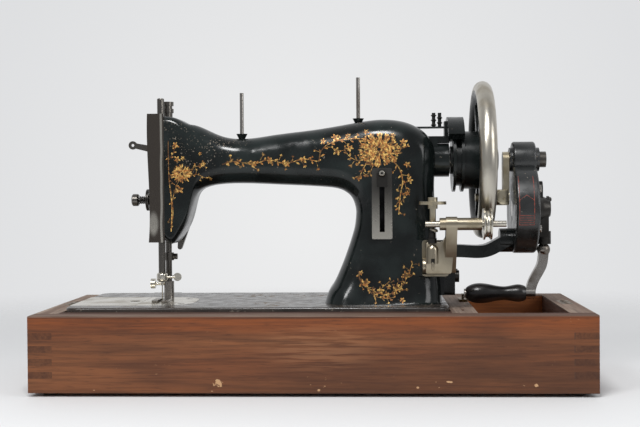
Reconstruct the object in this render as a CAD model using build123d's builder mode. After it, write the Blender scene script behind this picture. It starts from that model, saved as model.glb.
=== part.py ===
from build123d import *
import math
import os

# Hand-crank sewing machine standing in the open base of its wooden case.
# Millimetres, +X to the handwheel, +Y to the back, +Z up, origin under the middle of the base.

os.makedirs("parts", exist_ok=True)

# Clearances and overruns
CUT_OVERRUN = 1.0
RUNNING_GAP = 0.05
SLIP_GAP = 0.3
END_GAP = 0.5
BED_GAP = 1.0
BED_FRONT_GAP = 2.0

# Wooden base
BASE_LENGTH = 532.0
BASE_DEPTH = 230.0
BOARD_HEIGHT = 72.5
BOARD_THICK = 23.0
BOARD_ROUND = 1.5
FOOT_HEIGHT = 3.5
FOOT_RADIUS = 7.0
FOOT_INSET = 17.0
FLOOR_THICK = 5.0
FINGER_COUNT = 4
FINGER_HEIGHT = 6.3
FINGER_PITCH = 12.2
FINGER_TOP = 15.7
RAIL_WIDTH = 13.0
LEDGE_REACH = 8.0
LEDGE_THICK = 12.0
BRIDGE_WIDTH = 24.0
DIVIDER_THICK = 12.0
LOCK_LENGTH = 40.0
LOCK_WIDTH = 12.0
LOCK_THICK = 1.5
LOCK_HOLE_RADIUS = 3.5
LOCK_HOLE_DEPTH = 14.0
LOCK_Y = 13.0
BUTTON_LENGTH = 24.0
BUTTON_WIDTH = 9.0
BUTTON_THICK = 2.6
BUTTON_GRIP_HEIGHT = 5.0
BUTTON_GRIP_THICK = 2.0
BUTTON_STEM_RADIUS = 2.5
BUTTON_STEM_LENGTH = 10.0
BUTTON_Y = 27.0
SLIT_LENGTH = 12.0
SLIT_WIDTH = 2.5
SLIT_DEPTH = 6.0
SLIT_Y = -65.0

# Bed
BED_LENGTH_SHARE = 0.703
BED_PROUD = 4.0
BED_SKIRT = 20.0
BED_PLATE = 6.0
BED_WALL = 7.0
BED_CORNER = 14.0
BED_ROUND = 2.0
PLATE_THICK = 2.4
PLATE_WIDTH = 90.0
PLATE_ROUND = 30.0
PLATE_RIGHT_REACH = 35.5
PLATE_SPLIT_REACH = 19.0
HOOK_OPENING_LENGTH = 50.0
HOOK_OPENING_WIDTH = 68.0
HOOK_OPENING_INSET = 9.0
FEED_OPENING_LENGTH = 26.0
FEED_OPENING_WIDTH = 30.0
PILLAR_OPENING_LENGTH = 64.0
PILLAR_OPENING_WIDTH = 44.0
FINGER_HOLE_RADIUS = 5.0
FINGER_HOLE_INSET = 9.0
NEEDLE_HOLE_RADIUS = 1.6
FEED_SLOT_LENGTH = 22.0
FEED_SLOT_WIDTH = 3.4
FEED_SLOT_SPREAD = 5.0
SHAFT_LUG_LENGTH = 14.0
SHAFT_LUG_WIDTH = 24.0
SHAFT_LUG_PLACE_SHARES = [0.45, 0.69]

# Rear hinges of the bed
HINGE_SPREAD_SHARE = 0.62
HINGE_BARREL_RADIUS = 3.0
HINGE_PIN_RADIUS = 1.6
HINGE_BARREL_LENGTH = 16.0
HINGE_EAR_LENGTH = 7.0
HINGE_LEAF_THICK = 1.2
HINGE_LEAF_DEPTH = 18.0
HINGE_REACH = 8.0
HINGE_SINK = 4.0
HINGE_TONGUE_THICK = 3.0
HINGE_TONGUE_SEAT = 6.0

# Arm and pillar casting
ARM_SETBACK = 69.0
NEEDLE_SETBACK_SHARE = 0.226
HEAD_SETBACK = 7.5
ARM_LENGTH_SHARE = 0.7406
ARM_HEIGHT = 188.4
ARM_DEPTH = 72.0
ARM_WALL = 4.5
SHAFT_RISE_SHARE = 0.7537
LUG_THICK = 12.0
LUG_FRONT = 12.0
LUG_REACH = 13.2
BOSS_RADIUS = 16.8
BOSS_REACH = 8.5
BOSS_DEPTH = 24.0
BRACKET_PAD_REACH = 2.0
BRACKET_PAD_DEPTH = 14.0
BRACKET_PAD_WIDTH = 40.0
GUARD_PAD_REACH = 3.0
GUARD_PAD_DEPTH = 22.0
GUARD_PAD_WIDTH = 18.0
WINDER_PAD_SETBACK = 29.0
WINDER_PAD_WIDTH = 20.0
WINDER_PAD_REACH = 3.0
WINDER_PAD_DEPTH = 14.0
# Sections from head to foot: inner point, outer point, depth and corner round, in shares of the casting
ARM_STATION_SHARES = [
    (0.000, 0.340, 0.000, 0.998, 0.722, 0.15),
    (0.044, 0.345, 0.044, 0.986, 0.722, 0.17),
    (0.078, 0.428, 0.078, 0.961, 0.722, 0.21),
    (0.099, 0.530, 0.099, 0.953, 0.694, 0.27),
    (0.117, 0.592, 0.117, 0.947, 0.667, 0.33),
    (0.148, 0.620, 0.148, 0.927, 0.639, 0.38),
    (0.206, 0.635, 0.206, 0.891, 0.611, 0.44),
    (0.397, 0.631, 0.397, 0.897, 0.660, 0.42),
    (0.570, 0.617, 0.570, 0.927, 0.750, 0.39),
    (0.628, 0.606, 0.679, 0.953, 0.833, 0.37),
    (0.661, 0.583, 0.799, 0.971, 0.917, 0.35),
    (0.682, 0.547, 0.909, 0.933, 0.970, 0.34),
    (0.691, 0.504, 0.968, 0.847, 1.000, 0.33),
    (0.692, 0.462, 0.976, 0.663, 1.000, 0.33),
    (0.688, 0.409, 0.978, 0.478, 1.000, 0.33),
    (0.679, 0.358, 0.982, 0.358, 1.000, 0.33),
    (0.650, 0.234, 0.988, 0.234, 1.030, 0.33),
    (0.605, 0.090, 0.996, 0.090, 1.130, 0.31),
    (0.579, 0.000, 1.000, 0.000, 1.260, 0.28),
]
WEB_STATION = 5

# Face plate and the take-up lever that swings in its slot
FACE_WIDTH = 17.0
FACE_HEIGHT_SHARE = 0.6847
FACE_DROP = 2.8
FACE_WALL = 1.6
FACE_ROUND = 6.0
FACE_EDGE_SHARES = [(0.06, 0.0), (0.13, 0.2), (0.08, 0.5), (0.0, 0.85), (0.02, 1.0)]
TAKE_UP_PIVOT_SETBACK = 20.0
TAKE_UP_PIVOT_RISE = 6.0
TAKE_UP_REACH = 52.5
TAKE_UP_LIFT = 11.0
TAKE_UP_THICK = 2.6
TAKE_UP_ROOT_RADIUS = 4.5
TAKE_UP_TIP_RADIUS = 2.6
TAKE_UP_EYE_RADIUS = 4.2
TAKE_UP_HOLE_RADIUS = 1.5
TAKE_UP_STUD_RADIUS = 2.5
TAKE_UP_OFFSET = 18.7
TAKE_UP_SLOT_LOW = 24.0
TAKE_UP_SLOT_HIGH = 43.0

# Needle bar, needle and its clamp
NEEDLE_BAR_RADIUS = 3.6
NEEDLE_BAR_RISE = 19.4
NEEDLE_BAR_FOOT = 20.0
NEEDLE_BAR_ROUND = 1.2
NEEDLE_COLLAR_RADIUS = 5.0
NEEDLE_COLLAR_LOW_SHARE = 0.5096
NEEDLE_COLLAR_HEIGHT = 12.0
BAR_BUSH_RADIUS = 5.2
BAR_BUSH_PROUD = 1.5
CLAMP_RADIUS = 5.6
CLAMP_HEIGHT = 9.0
CLAMP_ROUND = 2.6
CLAMP_RISE = 20.3
CLAMP_SCREW_RADIUS = 1.5
CLAMP_SCREW_LENGTH = 10.0
CLAMP_THUMB_RADIUS = 4.2
CLAMP_THUMB_THICK = 2.2
NEEDLE_SHANK_RADIUS = 1.0
NEEDLE_SHANK_DEPTH = 14.0
NEEDLE_BLADE_RADIUS = 0.6
NEEDLE_DROP = 22.0
NEEDLE_POINT = 4.0
CRANK_PIN_THROW = 12.0
CRANK_PIN_RADIUS = 2.5
CRANK_PIN_LENGTH = 3.3
CRANK_DISC_RADIUS = 15.5
CRANK_DISC_THICK = 8.0
CRANK_DISC_SETBACK = 4.0
LINK_THICK = 2.7
LINK_EYE_RADIUS = 5.0

# Thread tension on the face plate
TENSION_RISE_SHARE = 0.551
TENSION_STUD_RADIUS = 2.0
TENSION_STUD_REACH = 20.5
TENSION_COLLAR_RADIUS = 5.0
TENSION_COLLAR_LENGTH = 2.4
TENSION_DISC_RADIUS = 11.0
TENSION_DISC_THICK = 1.2
TENSION_DISC_GAP = 0.4
TENSION_SPRING_RADIUS = 3.4
TENSION_WIRE_RADIUS = 0.6
TENSION_SPRING_TURNS = 4
TENSION_NUT_RADIUS = 6.2
TENSION_NUT_LENGTH = 6.9
TENSION_NUT_ROUND = 1.0

# Presser bar and foot
PRESSER_X_OFFSET = 4.0
PRESSER_Y_OFFSET = 17.0
PRESSER_BAR_RADIUS = 3.2
PRESSER_BAR_FOOT = 12.0
PRESSER_BAR_DROP = 7.0
PRESSURE_SCREW_RISE = 17.0
PRESSURE_HEAD_RADIUS = 6.4
PRESSURE_FLANGE_HEIGHT = 4.2
PRESSURE_NECK_RADIUS = 5.0
PRESSURE_NECK_HEIGHT = 3.0
PRESSURE_SHANK_RADIUS = 5.2
PRESSURE_SHANK_LENGTH = 20.0
PRESSURE_BORE_RADIUS = 3.6
FOOT_SOLE_THICK = 2.0
FOOT_SOLE_LENGTH = 36.0
FOOT_SOLE_WIDTH = 16.0
FOOT_TOE_REACH = 18.0
FOOT_SLOT_WIDTH = 3.6
FOOT_SLOT_LENGTH = 20.0
FOOT_SHANK_HEIGHT = 19.0
FOOT_SHANK_RADIUS = 5.2
FOOT_LIFT = 0.3
FOOT_SCREW_RISE = 16.8
FOOT_SCREW_RADIUS = 1.8
FOOT_SCREW_REACH = 18.7
FOOT_SCREW_HEAD_RADIUS = 5.2
FOOT_SCREW_HEAD_LENGTH = 4.5
CUTTER_RISE = 45.0
CUTTER_RADIUS = 5.4
CUTTER_HEIGHT = 8.0
CUTTER_STUB_RADIUS = 3.0
CUTTER_STUB_REACH = 9.0
LIFTER_PIVOT_X_OFFSET = 13.0
LIFTER_PIVOT_RISE_SHARE = 0.4512
LIFTER_THICK = 5.0
LIFTER_HUB_RADIUS = 7.0
LIFTER_TIP_RADIUS = 2.4
LIFTER_TIP_X_OFFSET = -6.5
LIFTER_TIP_DROP = 31.0
LIFTER_STUD_RADIUS = 3.0
LIFTER_STUD_HEAD_RADIUS = 4.6
LIFTER_STUD_HEAD_LENGTH = 2.4

# Main shaft, handwheel and pulley guard
SHAFT_RADIUS = 7.0
BUSH_RADIUS = 10.0
WHEEL_RADIUS = 79.0
WHEEL_RIM_RADIUS = 8.5
WHEEL_OFFSET = 42.0
HUB_GAP = 1.1
HUB_RADIUS = 14.0
HUB_RIGHT = 9.5
DRUM_RADIUS = 29.0
PULLEY_RADIUS = 32.0
PULLEY_GROOVE_RADIUS = 26.0
PULLEY_START = 2.0
PULLEY_FLANGE = 2.8
PULLEY_GROOVE = 5.5
SPOKE_COUNT = 6
SPOKE_ROOT_WIDTH = 12.0
SPOKE_TIP_WIDTH = 8.0
SPOKE_THICK = 9.0
CLUTCH_RADIUS = 13.0
CLUTCH_LENGTH = 6.0
CLUTCH_ROUND = 1.5
GUARD_THICK = 9.0
GUARD_GAP = 2.5
GUARD_LENGTH = 16.0
GUARD_START = 6.5
GUARD_SPREAD = 110.0
GUARD_EAR_HEIGHT = 7.0
GUARD_EAR_WIDTH = 16.0
GUARD_EAR_RISE = 17.0

# Gear drive of the hand crank
MODULE = 1.64
PINION_TEETH = 15
GEAR_TEETH = 45
PRESSURE_ANGLE = 20.0
ADDENDUM_SHARE = 0.8
DEDENDUM_SHARE = 1.05
BACKLASH = 0.3
HOUSING_OFFSET = 71.5
HOUSING_LENGTH = 20.0
HOUSING_WALL = 3.5
HOUSING_RADIUS = 45.0
HOUSING_NECK_RADIUS = 18.0
HOUSING_ROUND = 2.5
TIP_GAP = 1.2
COVER_THICK = 3.0
PINION_BOSS_RADIUS = 12.0
PINION_BOSS_LEFT = 2.5
PINION_BOSS_RIGHT = 4.0
PINION_SHAFT_RADIUS = 5.0
PINION_NUT_RADIUS = 8.0
PINION_NUT_LENGTH = 6.5
GEAR_SHAFT_RADIUS = 8.0
DRIVER_THICK = 6.0
DRIVER_GAP = 0.5
DRIVER_HUB_RADIUS = 8.0
DRIVER_THROW = 38.0
DRIVER_LUG_RADIUS = 8.0
DRIVER_TAPER_SHARE = 0.8
DRIVER_LUG_LENGTH = 12.5
DRIVER_PIN_RADIUS = 4.0
DRIVER_PIN_REACH = 21.0
CRANK_HUB_RADIUS = 15.0
CRANK_HUB_LENGTH = 15.0
CRANK_SEAT_SHARE = 0.8
CRANK_HUB_NOSE_RADIUS = 8.5
CRANK_HUB_FLANGE = 4.0
CRANK_HUB_SHOULDER_RADIUS = 12.5
CRANK_HUB_SHOULDER = 7.0
CRANK_TAIL_START = 0.7
CRANK_TAIL_THICK = 6.5
CRANK_TAIL_RISE = 20.0
CRANK_LUG_WIDTH = 15.0
CRANK_LUG_THICK = 9.0
CRANK_LUG_START = 4.0
KNUCKLE_RADIUS = 7.4
KNUCKLE_TOP = 23.0
KNUCKLE_BOTTOM = 36.0
SWIVEL_RADIUS = 4.0
SWIVEL_DEPTH = 13.0
SWIVEL_BALL_RADIUS = 6.6
SWIVEL_SINK_SHARE = 0.8
HANDLE_GAP = 1.2
CRANK_ARM_WIDTH = 9.5
CRANK_EYE_RADIUS = 6.0
CRANK_ARM_THICK = 9.0
CRANK_ARM_BEND_SHARES = [(0.0, 0.0), (-0.05, 0.15), (-0.22, 0.36), (-0.70, 0.57), (-1.18, 0.80), (-1.35, 1.0)]
CRANK_ARM_SWEEP_SHARE = 0.2273
HANDLE_LENGTH = 59.5
HANDLE_RADIUS = 10.0
HANDLE_PROFILE_SHARES = [(0.0, 0.55), (0.06, 0.80), (0.30, 1.0), (0.68, 0.70), (0.90, 0.88), (1.0, 0.70)]
HANDLE_PIN_RADIUS = 3.0
HANDLE_PIN_HEAD_RADIUS = 4.6
HANDLE_PIN_HEAD_LENGTH = 1.6

# Bracket that carries the gear housing
BRACKET_FLANGE = 11.0
BRACKET_LOW = 7.0
BRACKET_GAP = 6.8
BRACKET_ARM_HEIGHT = 12.4
BRACKET_ARM_WIDTH = 22.0
BRACKET_BEND_SHARES = ((0.0, 0.0), (0.35, 0.0), (0.66, 0.07), (0.84, 0.5), (1.0, 1.0))
BRACKET_ROUND = 3.0
BRACKET_BOSS_RADIUS = 12.0
BRACKET_BOSS_LENGTH = 12.5
BRACKET_BOSS_DROP = 32.0
BOLT_RADIUS = 3.0
BOLT_HEAD_RADIUS = 6.0
BOLT_HEAD_LENGTH = 4.5
BOLT_LENGTH = 16.0
BOLT_SPREAD = 22.0
BOLT_RISE_SHARE = 0.5

# Spool pins, stitch scale and thread guide of the winder
SPOOL_PLACE_SHARES = [0.2735, 0.7015]
SPOOL_BASE_SHARES = [0.878, 0.955]
SPOOL_PIN_RADIUS = 2.0
SPOOL_PIN_HEIGHT = 46.5
SPOOL_CUP_RADIUS = 5.8
SPOOL_CUP_FOOT_RADIUS = 3.2
SPOOL_CUP_HEIGHT = 5.0
SPOOL_SHANK = 8.0
SCALE_X_SHARE = 0.786
SCALE_LOW_SHARE = 0.3397
SCALE_WIDTH = 20.0
SCALE_HEIGHT_SHARE = 0.3716
SCALE_THICK = 2.0
SCALE_SEAT = 0.5
SCALE_SLOT_WIDTH = 5.0
SCALE_SLOT_LOW = 7.0
SCALE_SLOT_HEIGHT_SHARE = 0.8143
SCALE_ROUND = 1.5
LEVER_SHANK_RADIUS = 2.0
LEVER_KNOB_RADIUS = 3.8
LEVER_KNOB_LENGTH = 8.0
LEVER_KNOB_ROUND = 0.8
LEVER_KNOB_RISE = 3.0
LEVER_BLOCK_WIDTH = 10.4
LEVER_BLOCK_DROP = 10.4
LEVER_BLOCK_THICK = 5.5
LEVER_INSIDE = 14.0
GUIDE_SETBACK = 3.0
GUIDE_LENGTH = 34.0
GUIDE_WIDTH = 12.0
GUIDE_THICK = 1.6
GUIDE_Z_SHARE = 0.925
GUIDE_POST_RADIUS = 1.8
GUIDE_POST_HEIGHT = 14.0
GUIDE_POST_SPREAD = 6.0
GUIDE_POST_INSET = 4.0

# Bobbin winder beside the pillar
WINDER_Y_OFFSET = 74.0
WINDER_DROP = 62.5
WINDER_BARREL_RADIUS = 5.9
WINDER_BARREL_LEFT = 6.0
WINDER_BARREL_LENGTH = 40.0
WINDER_SPINDLE_RADIUS = 3.0
WINDER_SPINDLE_LEFT = 18.5
WINDER_SPINDLE_LENGTH = 76.5
WINDER_PULLEY_RADIUS = 15.0
WINDER_PULLEY_GROOVE = 2.5
WINDER_PULLEY_LENGTH = 8.0
WINDER_PLATE_SETBACK = 20.5
WINDER_PLATE_LENGTH = 26.0
WINDER_PLATE_LOW = 27.5
WINDER_PLATE_HEIGHT = 35.5
WINDER_PLATE_THICK = 3.0
WINDER_PIVOT_RISE = 38.0
WINDER_PIVOT_REACH = 11.0
WINDER_PIVOT_RADIUS = 3.0
WINDER_LUG_LENGTH = 21.0
WINDER_LUG_RADIUS = 8.0
WINDER_ARM_THICK = 10.5
WINDER_ARM_RADIUS = 7.0
CAM_RADIUS = 13.0
CAM_THICK = 3.0
CAM_HUB_RADIUS = 4.7
CAM_HUB_LENGTH = 11.0
CAM_SHAFT_RADIUS = 3.0
CAM_SHAFT_LENGTH = 24.0
CAM_Y_OFFSET = 9.5
CAM_SEAT_THICK = 5.0
CAM_SEAT_RADIUS = 6.0

# Hook and feed under the bed
HOOK_DROP = 36.0
HOOK_SHAFT_RADIUS = 5.0
HOOK_SHAFT_LENGTH_SHARE = 0.5215
RACE_RADIUS = 21.0
RACE_LENGTH = 16.0
RACE_SETBACK = 7.5
RACE_FOOT_WIDTH = 20.0
RACE_FOOT_LENGTH = 9.0
HOOK_RADIUS = 17.4
HOOK_LENGTH = 14.0
HOOK_WALL = 2.6
CASE_RADIUS = 13.6
FEED_BASE_THICK = 3.0
FEED_BASE_LENGTH = 20.0
FEED_BASE_WIDTH = 18.0
FEED_TOOTH_LENGTH = 16.0
FEED_TOOTH_WIDTH = 2.6
FEED_BAR_LENGTH = 60.0
FEED_BAR_WIDTH = 9.0
FEED_BAR_THICK = 6.0

# Places worked out from the sizes above
RIM_Z = FOOT_HEIGHT + BOARD_HEIGHT
FLOOR_Z = FOOT_HEIGHT + FLOOR_THICK
OUTER_X = BASE_LENGTH / 2
OUTER_Y = BASE_DEPTH / 2
INNER_X = OUTER_X - BOARD_THICK
INNER_Y = OUTER_Y - BOARD_THICK
BED_LENGTH = BASE_LENGTH * BED_LENGTH_SHARE
BED_LEFT = -INNER_X + BED_GAP
BED_RIGHT = BED_LEFT + BED_LENGTH
BED_FRONT = -INNER_Y + RAIL_WIDTH + BED_FRONT_GAP
BED_BACK = INNER_Y - BED_GAP
BED_Z = RIM_Z + BED_PROUD
BED_BOTTOM = BED_Z - BED_SKIRT
BED_MIDDLE_Y = (BED_FRONT + BED_BACK) / 2
LEDGE_BOTTOM = BED_BOTTOM - LEDGE_THICK
RAIL_Y = -INNER_Y + RAIL_WIDTH
BRIDGE_LEFT = BED_RIGHT + BED_GAP
BRIDGE_RIGHT = BRIDGE_LEFT + BRIDGE_WIDTH
DIVIDER_LEFT = BRIDGE_RIGHT - DIVIDER_THICK
HINGE_Y = BED_BACK + HINGE_REACH
HINGE_FLOOR = RIM_Z - HINGE_SINK
HINGE_Z = HINGE_FLOOR + HINGE_LEAF_THICK + SLIP_GAP + HINGE_BARREL_RADIUS
ARM_Y = BED_FRONT + ARM_SETBACK
NEEDLE_X = BED_LEFT + BED_LENGTH * NEEDLE_SETBACK_SHARE
ARM_LEFT = NEEDLE_X + HEAD_SETBACK
ARM_LENGTH = BED_LENGTH * ARM_LENGTH_SHARE
ARM_RIGHT = ARM_LEFT + ARM_LENGTH
ARM_TOP = BED_Z + ARM_HEIGHT * ARM_STATION_SHARES[0][3]
HEAD_BOTTOM = BED_Z + ARM_HEIGHT * ARM_STATION_SHARES[0][1]
HEAD_HALF = ARM_DEPTH * ARM_STATION_SHARES[0][4] / 2
PILLAR_FRONT = ARM_Y - ARM_DEPTH / 2
SHAFT_Z = BED_Z + ARM_HEIGHT * SHAFT_RISE_SHARE
PLATE_FLOOR = BED_Z - PLATE_THICK
PLATE_SPLIT = NEEDLE_X - PLATE_SPLIT_REACH
PLATE_RIGHT = NEEDLE_X + PLATE_RIGHT_REACH
FACE_LEFT = ARM_LEFT - FACE_WIDTH
FACE_BOTTOM = HEAD_BOTTOM - FACE_DROP
FACE_HEIGHT = ARM_HEIGHT * FACE_HEIGHT_SHARE
PRESSER_X = NEEDLE_X + PRESSER_X_OFFSET
PRESSER_Y = ARM_Y + PRESSER_Y_OFFSET
TAKE_UP_X = ARM_LEFT + TAKE_UP_PIVOT_SETBACK
TAKE_UP_Z = SHAFT_Z + TAKE_UP_PIVOT_RISE
TAKE_UP_Y = ARM_Y - TAKE_UP_OFFSET
TENSION_Z = BED_Z + ARM_HEIGHT * TENSION_RISE_SHARE
NEEDLE_COLLAR_Z = BED_Z + ARM_HEIGHT * NEEDLE_COLLAR_LOW_SHARE
BOSS_RIGHT = ARM_RIGHT + BOSS_REACH
HUB_LEFT = BOSS_RIGHT + HUB_GAP
WHEEL_X = ARM_RIGHT + WHEEL_OFFSET
HUB_END = WHEEL_X + HUB_RIGHT
CLUTCH_END = HUB_END + CLUTCH_LENGTH
CENTRE_DISTANCE = MODULE * (PINION_TEETH + GEAR_TEETH) / 2
CRANK_Z = SHAFT_Z - CENTRE_DISTANCE
HOUSING_LEFT = ARM_RIGHT + HOUSING_OFFSET
HOUSING_RIGHT = HOUSING_LEFT + HOUSING_LENGTH
COVER_RIGHT = HOUSING_RIGHT + COVER_THICK
BRACKET_X = ARM_RIGHT + BRACKET_PAD_REACH
SCALE_X = ARM_LEFT + ARM_LENGTH * SCALE_X_SHARE
WINDER_Y = ARM_Y - WINDER_Y_OFFSET
WINDER_Z = SHAFT_Z - WINDER_DROP
WINDER_SEAT_Y = PILLAR_FRONT - WINDER_PAD_REACH
WINDER_PIVOT_Y = WINDER_SEAT_Y - WINDER_PIVOT_REACH
WINDER_PIVOT_Z = BED_Z + WINDER_PIVOT_RISE
HOOK_Z = BED_Z - HOOK_DROP
RACE_RIGHT = NEEDLE_X - RACE_SETBACK

# Working planes: the front view through the arm, and cross views looking along the shaft
FRONT_VIEW = Plane(origin=(0, ARM_Y, 0), x_dir=(1, 0, 0), z_dir=(0, -1, 0))


def across(x, y=0.0, z=0.0):
    """Plane square to the shaft, its own X to the back and its own Y up."""
    return Plane(origin=(x, y, z), x_dir=(0, 1, 0), z_dir=(1, 0, 0))


def block(low, high, mode=Mode.ADD):
    """Box between two opposite corners, in the open part."""
    middle = tuple((a + b) / 2 for a, b in zip(low, high))
    size = tuple(b - a for a, b in zip(low, high))
    with Locations(middle):
        Box(*size, mode=mode)


def rod(start, end, radius, mode=Mode.ADD):
    """Round bar from one point to another, in the open part."""
    run = Vector(*end) - Vector(*start)
    with Locations(Plane(origin=start, z_dir=run)):
        Cylinder(radius, run.length, align=(Align.CENTER, Align.CENTER, Align.MIN), mode=mode)


def save(piece, node):
    """Label a finished piece and write it to its own file."""
    piece.part.label = node
    export_step(piece.part, f"parts/{node}.step")


# Base boards: the sides carry the fingers, the front and back carry the slots for them
FINGER_HEIGHTS = [RIM_Z - FINGER_TOP - FINGER_HEIGHT / 2 - i * FINGER_PITCH for i in range(FINGER_COUNT)]


def cut_finger_slots(y_low, y_high):
    """Slots for the side boards' fingers at both ends of the open board."""
    for x in (-INNER_X - BOARD_THICK / 2, INNER_X + BOARD_THICK / 2):
        for z in FINGER_HEIGHTS:
            with Locations((x, (y_low + y_high) / 2, z)):
                Box(BOARD_THICK, y_high - y_low, FINGER_HEIGHT, mode=Mode.SUBTRACT)


with BuildPart() as base_front_board:
    block((-OUTER_X, -OUTER_Y, FOOT_HEIGHT), (OUTER_X, -INNER_Y, RIM_Z))
    fillet(base_front_board.edges().filter_by(Axis.X).group_by(Axis.Y)[0], BOARD_ROUND)
    cut_finger_slots(-OUTER_Y, -INNER_Y)
save(base_front_board, "base_front_board")

HINGE_PLACES = [x * HINGE_SPREAD_SHARE * BED_LENGTH / 2 + (BED_LEFT + BED_RIGHT) / 2 for x in (-1, 1)]
HINGE_HALF = HINGE_BARREL_LENGTH / 2 + SLIP_GAP + HINGE_EAR_LENGTH
with BuildPart() as base_back_board:
    block((-OUTER_X, INNER_Y, FOOT_HEIGHT), (OUTER_X, OUTER_Y, RIM_Z))
    fillet(base_back_board.edges().filter_by(Axis.X).group_by(Axis.Y)[-1], BOARD_ROUND)
    cut_finger_slots(INNER_Y, OUTER_Y)
    for x in HINGE_PLACES:
        block((x - HINGE_HALF, INNER_Y - CUT_OVERRUN, HINGE_FLOOR),
              (x + HINGE_HALF, INNER_Y + HINGE_LEAF_DEPTH, RIM_Z + CUT_OVERRUN), Mode.SUBTRACT)
save(base_back_board, "base_back_board")


def add_side_board(side):
    """Side board with its fingers, and the let-in seat and hole of its lock plate."""
    inner, outer = side * INNER_X, side * OUTER_X
    low, high = min(inner, outer), max(inner, outer)
    block((low, -INNER_Y, FOOT_HEIGHT), (high, INNER_Y, RIM_Z))
    for z in FINGER_HEIGHTS:
        block((low, -OUTER_Y, z - FINGER_HEIGHT / 2), (high, OUTER_Y, z + FINGER_HEIGHT / 2))
    middle = (inner + outer) / 2
    with Locations((middle, LOCK_Y, RIM_Z)):
        Box(LOCK_WIDTH, LOCK_LENGTH, 2 * LOCK_THICK, mode=Mode.SUBTRACT)
    rod((middle, LOCK_Y, RIM_Z), (middle, LOCK_Y, RIM_Z - LOCK_HOLE_DEPTH), LOCK_HOLE_RADIUS, Mode.SUBTRACT)


with BuildPart() as base_left_board:
    add_side_board(-1)
save(base_left_board, "base_left_board")

with BuildPart() as base_right_board:
    add_side_board(1)
save(base_right_board, "base_right_board")

with BuildPart() as base_floor_panel:
    block((-INNER_X, -INNER_Y, FOOT_HEIGHT), (INNER_X, INNER_Y, FLOOR_Z))
save(base_floor_panel, "base_floor_panel")

with BuildPart() as front_rail:
    block((-INNER_X, -INNER_Y, LEDGE_BOTTOM), (BRIDGE_LEFT, RAIL_Y, RIM_Z))
    block((-INNER_X, RAIL_Y, LEDGE_BOTTOM), (BRIDGE_LEFT, RAIL_Y + LEDGE_REACH, BED_BOTTOM))
save(front_rail, "front_rail")

with BuildPart() as left_ledge:
    block((-INNER_X, RAIL_Y + LEDGE_REACH, LEDGE_BOTTOM), (-INNER_X + LEDGE_REACH, INNER_Y, BED_BOTTOM))
save(left_ledge, "left_ledge")

BUTTON_X = BRIDGE_RIGHT - BUTTON_WIDTH / 2 - BED_GAP
with BuildPart() as bridge_rail:
    block((BRIDGE_LEFT, -INNER_Y, BED_BOTTOM), (BRIDGE_RIGHT, INNER_Y, RIM_Z))
    block((BRIDGE_LEFT, -INNER_Y, LEDGE_BOTTOM), (DIVIDER_LEFT, INNER_Y, BED_BOTTOM))
    block((BRIDGE_LEFT - LEDGE_REACH, RAIL_Y + LEDGE_REACH, LEDGE_BOTTOM), (BRIDGE_LEFT, INNER_Y, BED_BOTTOM))
    with Locations((DIVIDER_LEFT, SLIT_Y, RIM_Z)):
        Box(SLIT_WIDTH, SLIT_LENGTH, 2 * SLIT_DEPTH, mode=Mode.SUBTRACT)
    rod((BUTTON_X, BUTTON_Y, RIM_Z), (BUTTON_X, BUTTON_Y, RIM_Z - BUTTON_STEM_LENGTH - END_GAP),
        BUTTON_STEM_RADIUS + RUNNING_GAP, Mode.SUBTRACT)
save(bridge_rail, "bridge_rail")

with BuildPart() as divider_board:
    block((DIVIDER_LEFT, -INNER_Y, FLOOR_Z), (BRIDGE_RIGHT, INNER_Y, BED_BOTTOM))
save(divider_board, "divider_board")

with BuildPart() as base_feet:
    with GridLocations(2 * (OUTER_X - FOOT_INSET), 2 * (OUTER_Y - FOOT_INSET), 2, 2):
        Cylinder(FOOT_RADIUS, FOOT_HEIGHT, align=(Align.CENTER, Align.CENTER, Align.MIN))
    chamfer(base_feet.edges().group_by(Axis.Z)[0], BOARD_ROUND / 2)
save(base_feet, "base_feet")

LOCK_X = (INNER_X + OUTER_X) / 2
with BuildPart() as lock_plates:
    for x in (-LOCK_X, LOCK_X):
        block((x - LOCK_WIDTH / 2, LOCK_Y - LOCK_LENGTH / 2, RIM_Z - LOCK_THICK),
              (x + LOCK_WIDTH / 2, LOCK_Y + LOCK_LENGTH / 2, RIM_Z))
        rod((x, LOCK_Y, RIM_Z + CUT_OVERRUN), (x, LOCK_Y, RIM_Z - LOCK_THICK - CUT_OVERRUN),
            LOCK_HOLE_RADIUS, Mode.SUBTRACT)
save(lock_plates, "lock_plates")

with BuildPart() as turn_button:
    with BuildSketch(Plane.XY.offset(RIM_Z + RUNNING_GAP)):
        with Locations((BUTTON_X, BUTTON_Y)):
            SlotOverall(BUTTON_LENGTH, BUTTON_WIDTH, rotation=90)
    extrude(amount=BUTTON_THICK)
    block((BUTTON_X - BUTTON_GRIP_THICK / 2, BUTTON_Y - BUTTON_WIDTH / 2, RIM_Z + BUTTON_THICK),
          (BUTTON_X + BUTTON_GRIP_THICK / 2, BUTTON_Y + BUTTON_WIDTH / 2,
           RIM_Z + BUTTON_THICK + BUTTON_GRIP_HEIGHT))
    rod((BUTTON_X, BUTTON_Y, RIM_Z + BUTTON_THICK), (BUTTON_X, BUTTON_Y, RIM_Z - BUTTON_STEM_LENGTH),
        BUTTON_STEM_RADIUS)
save(turn_button, "turn_button")

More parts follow.
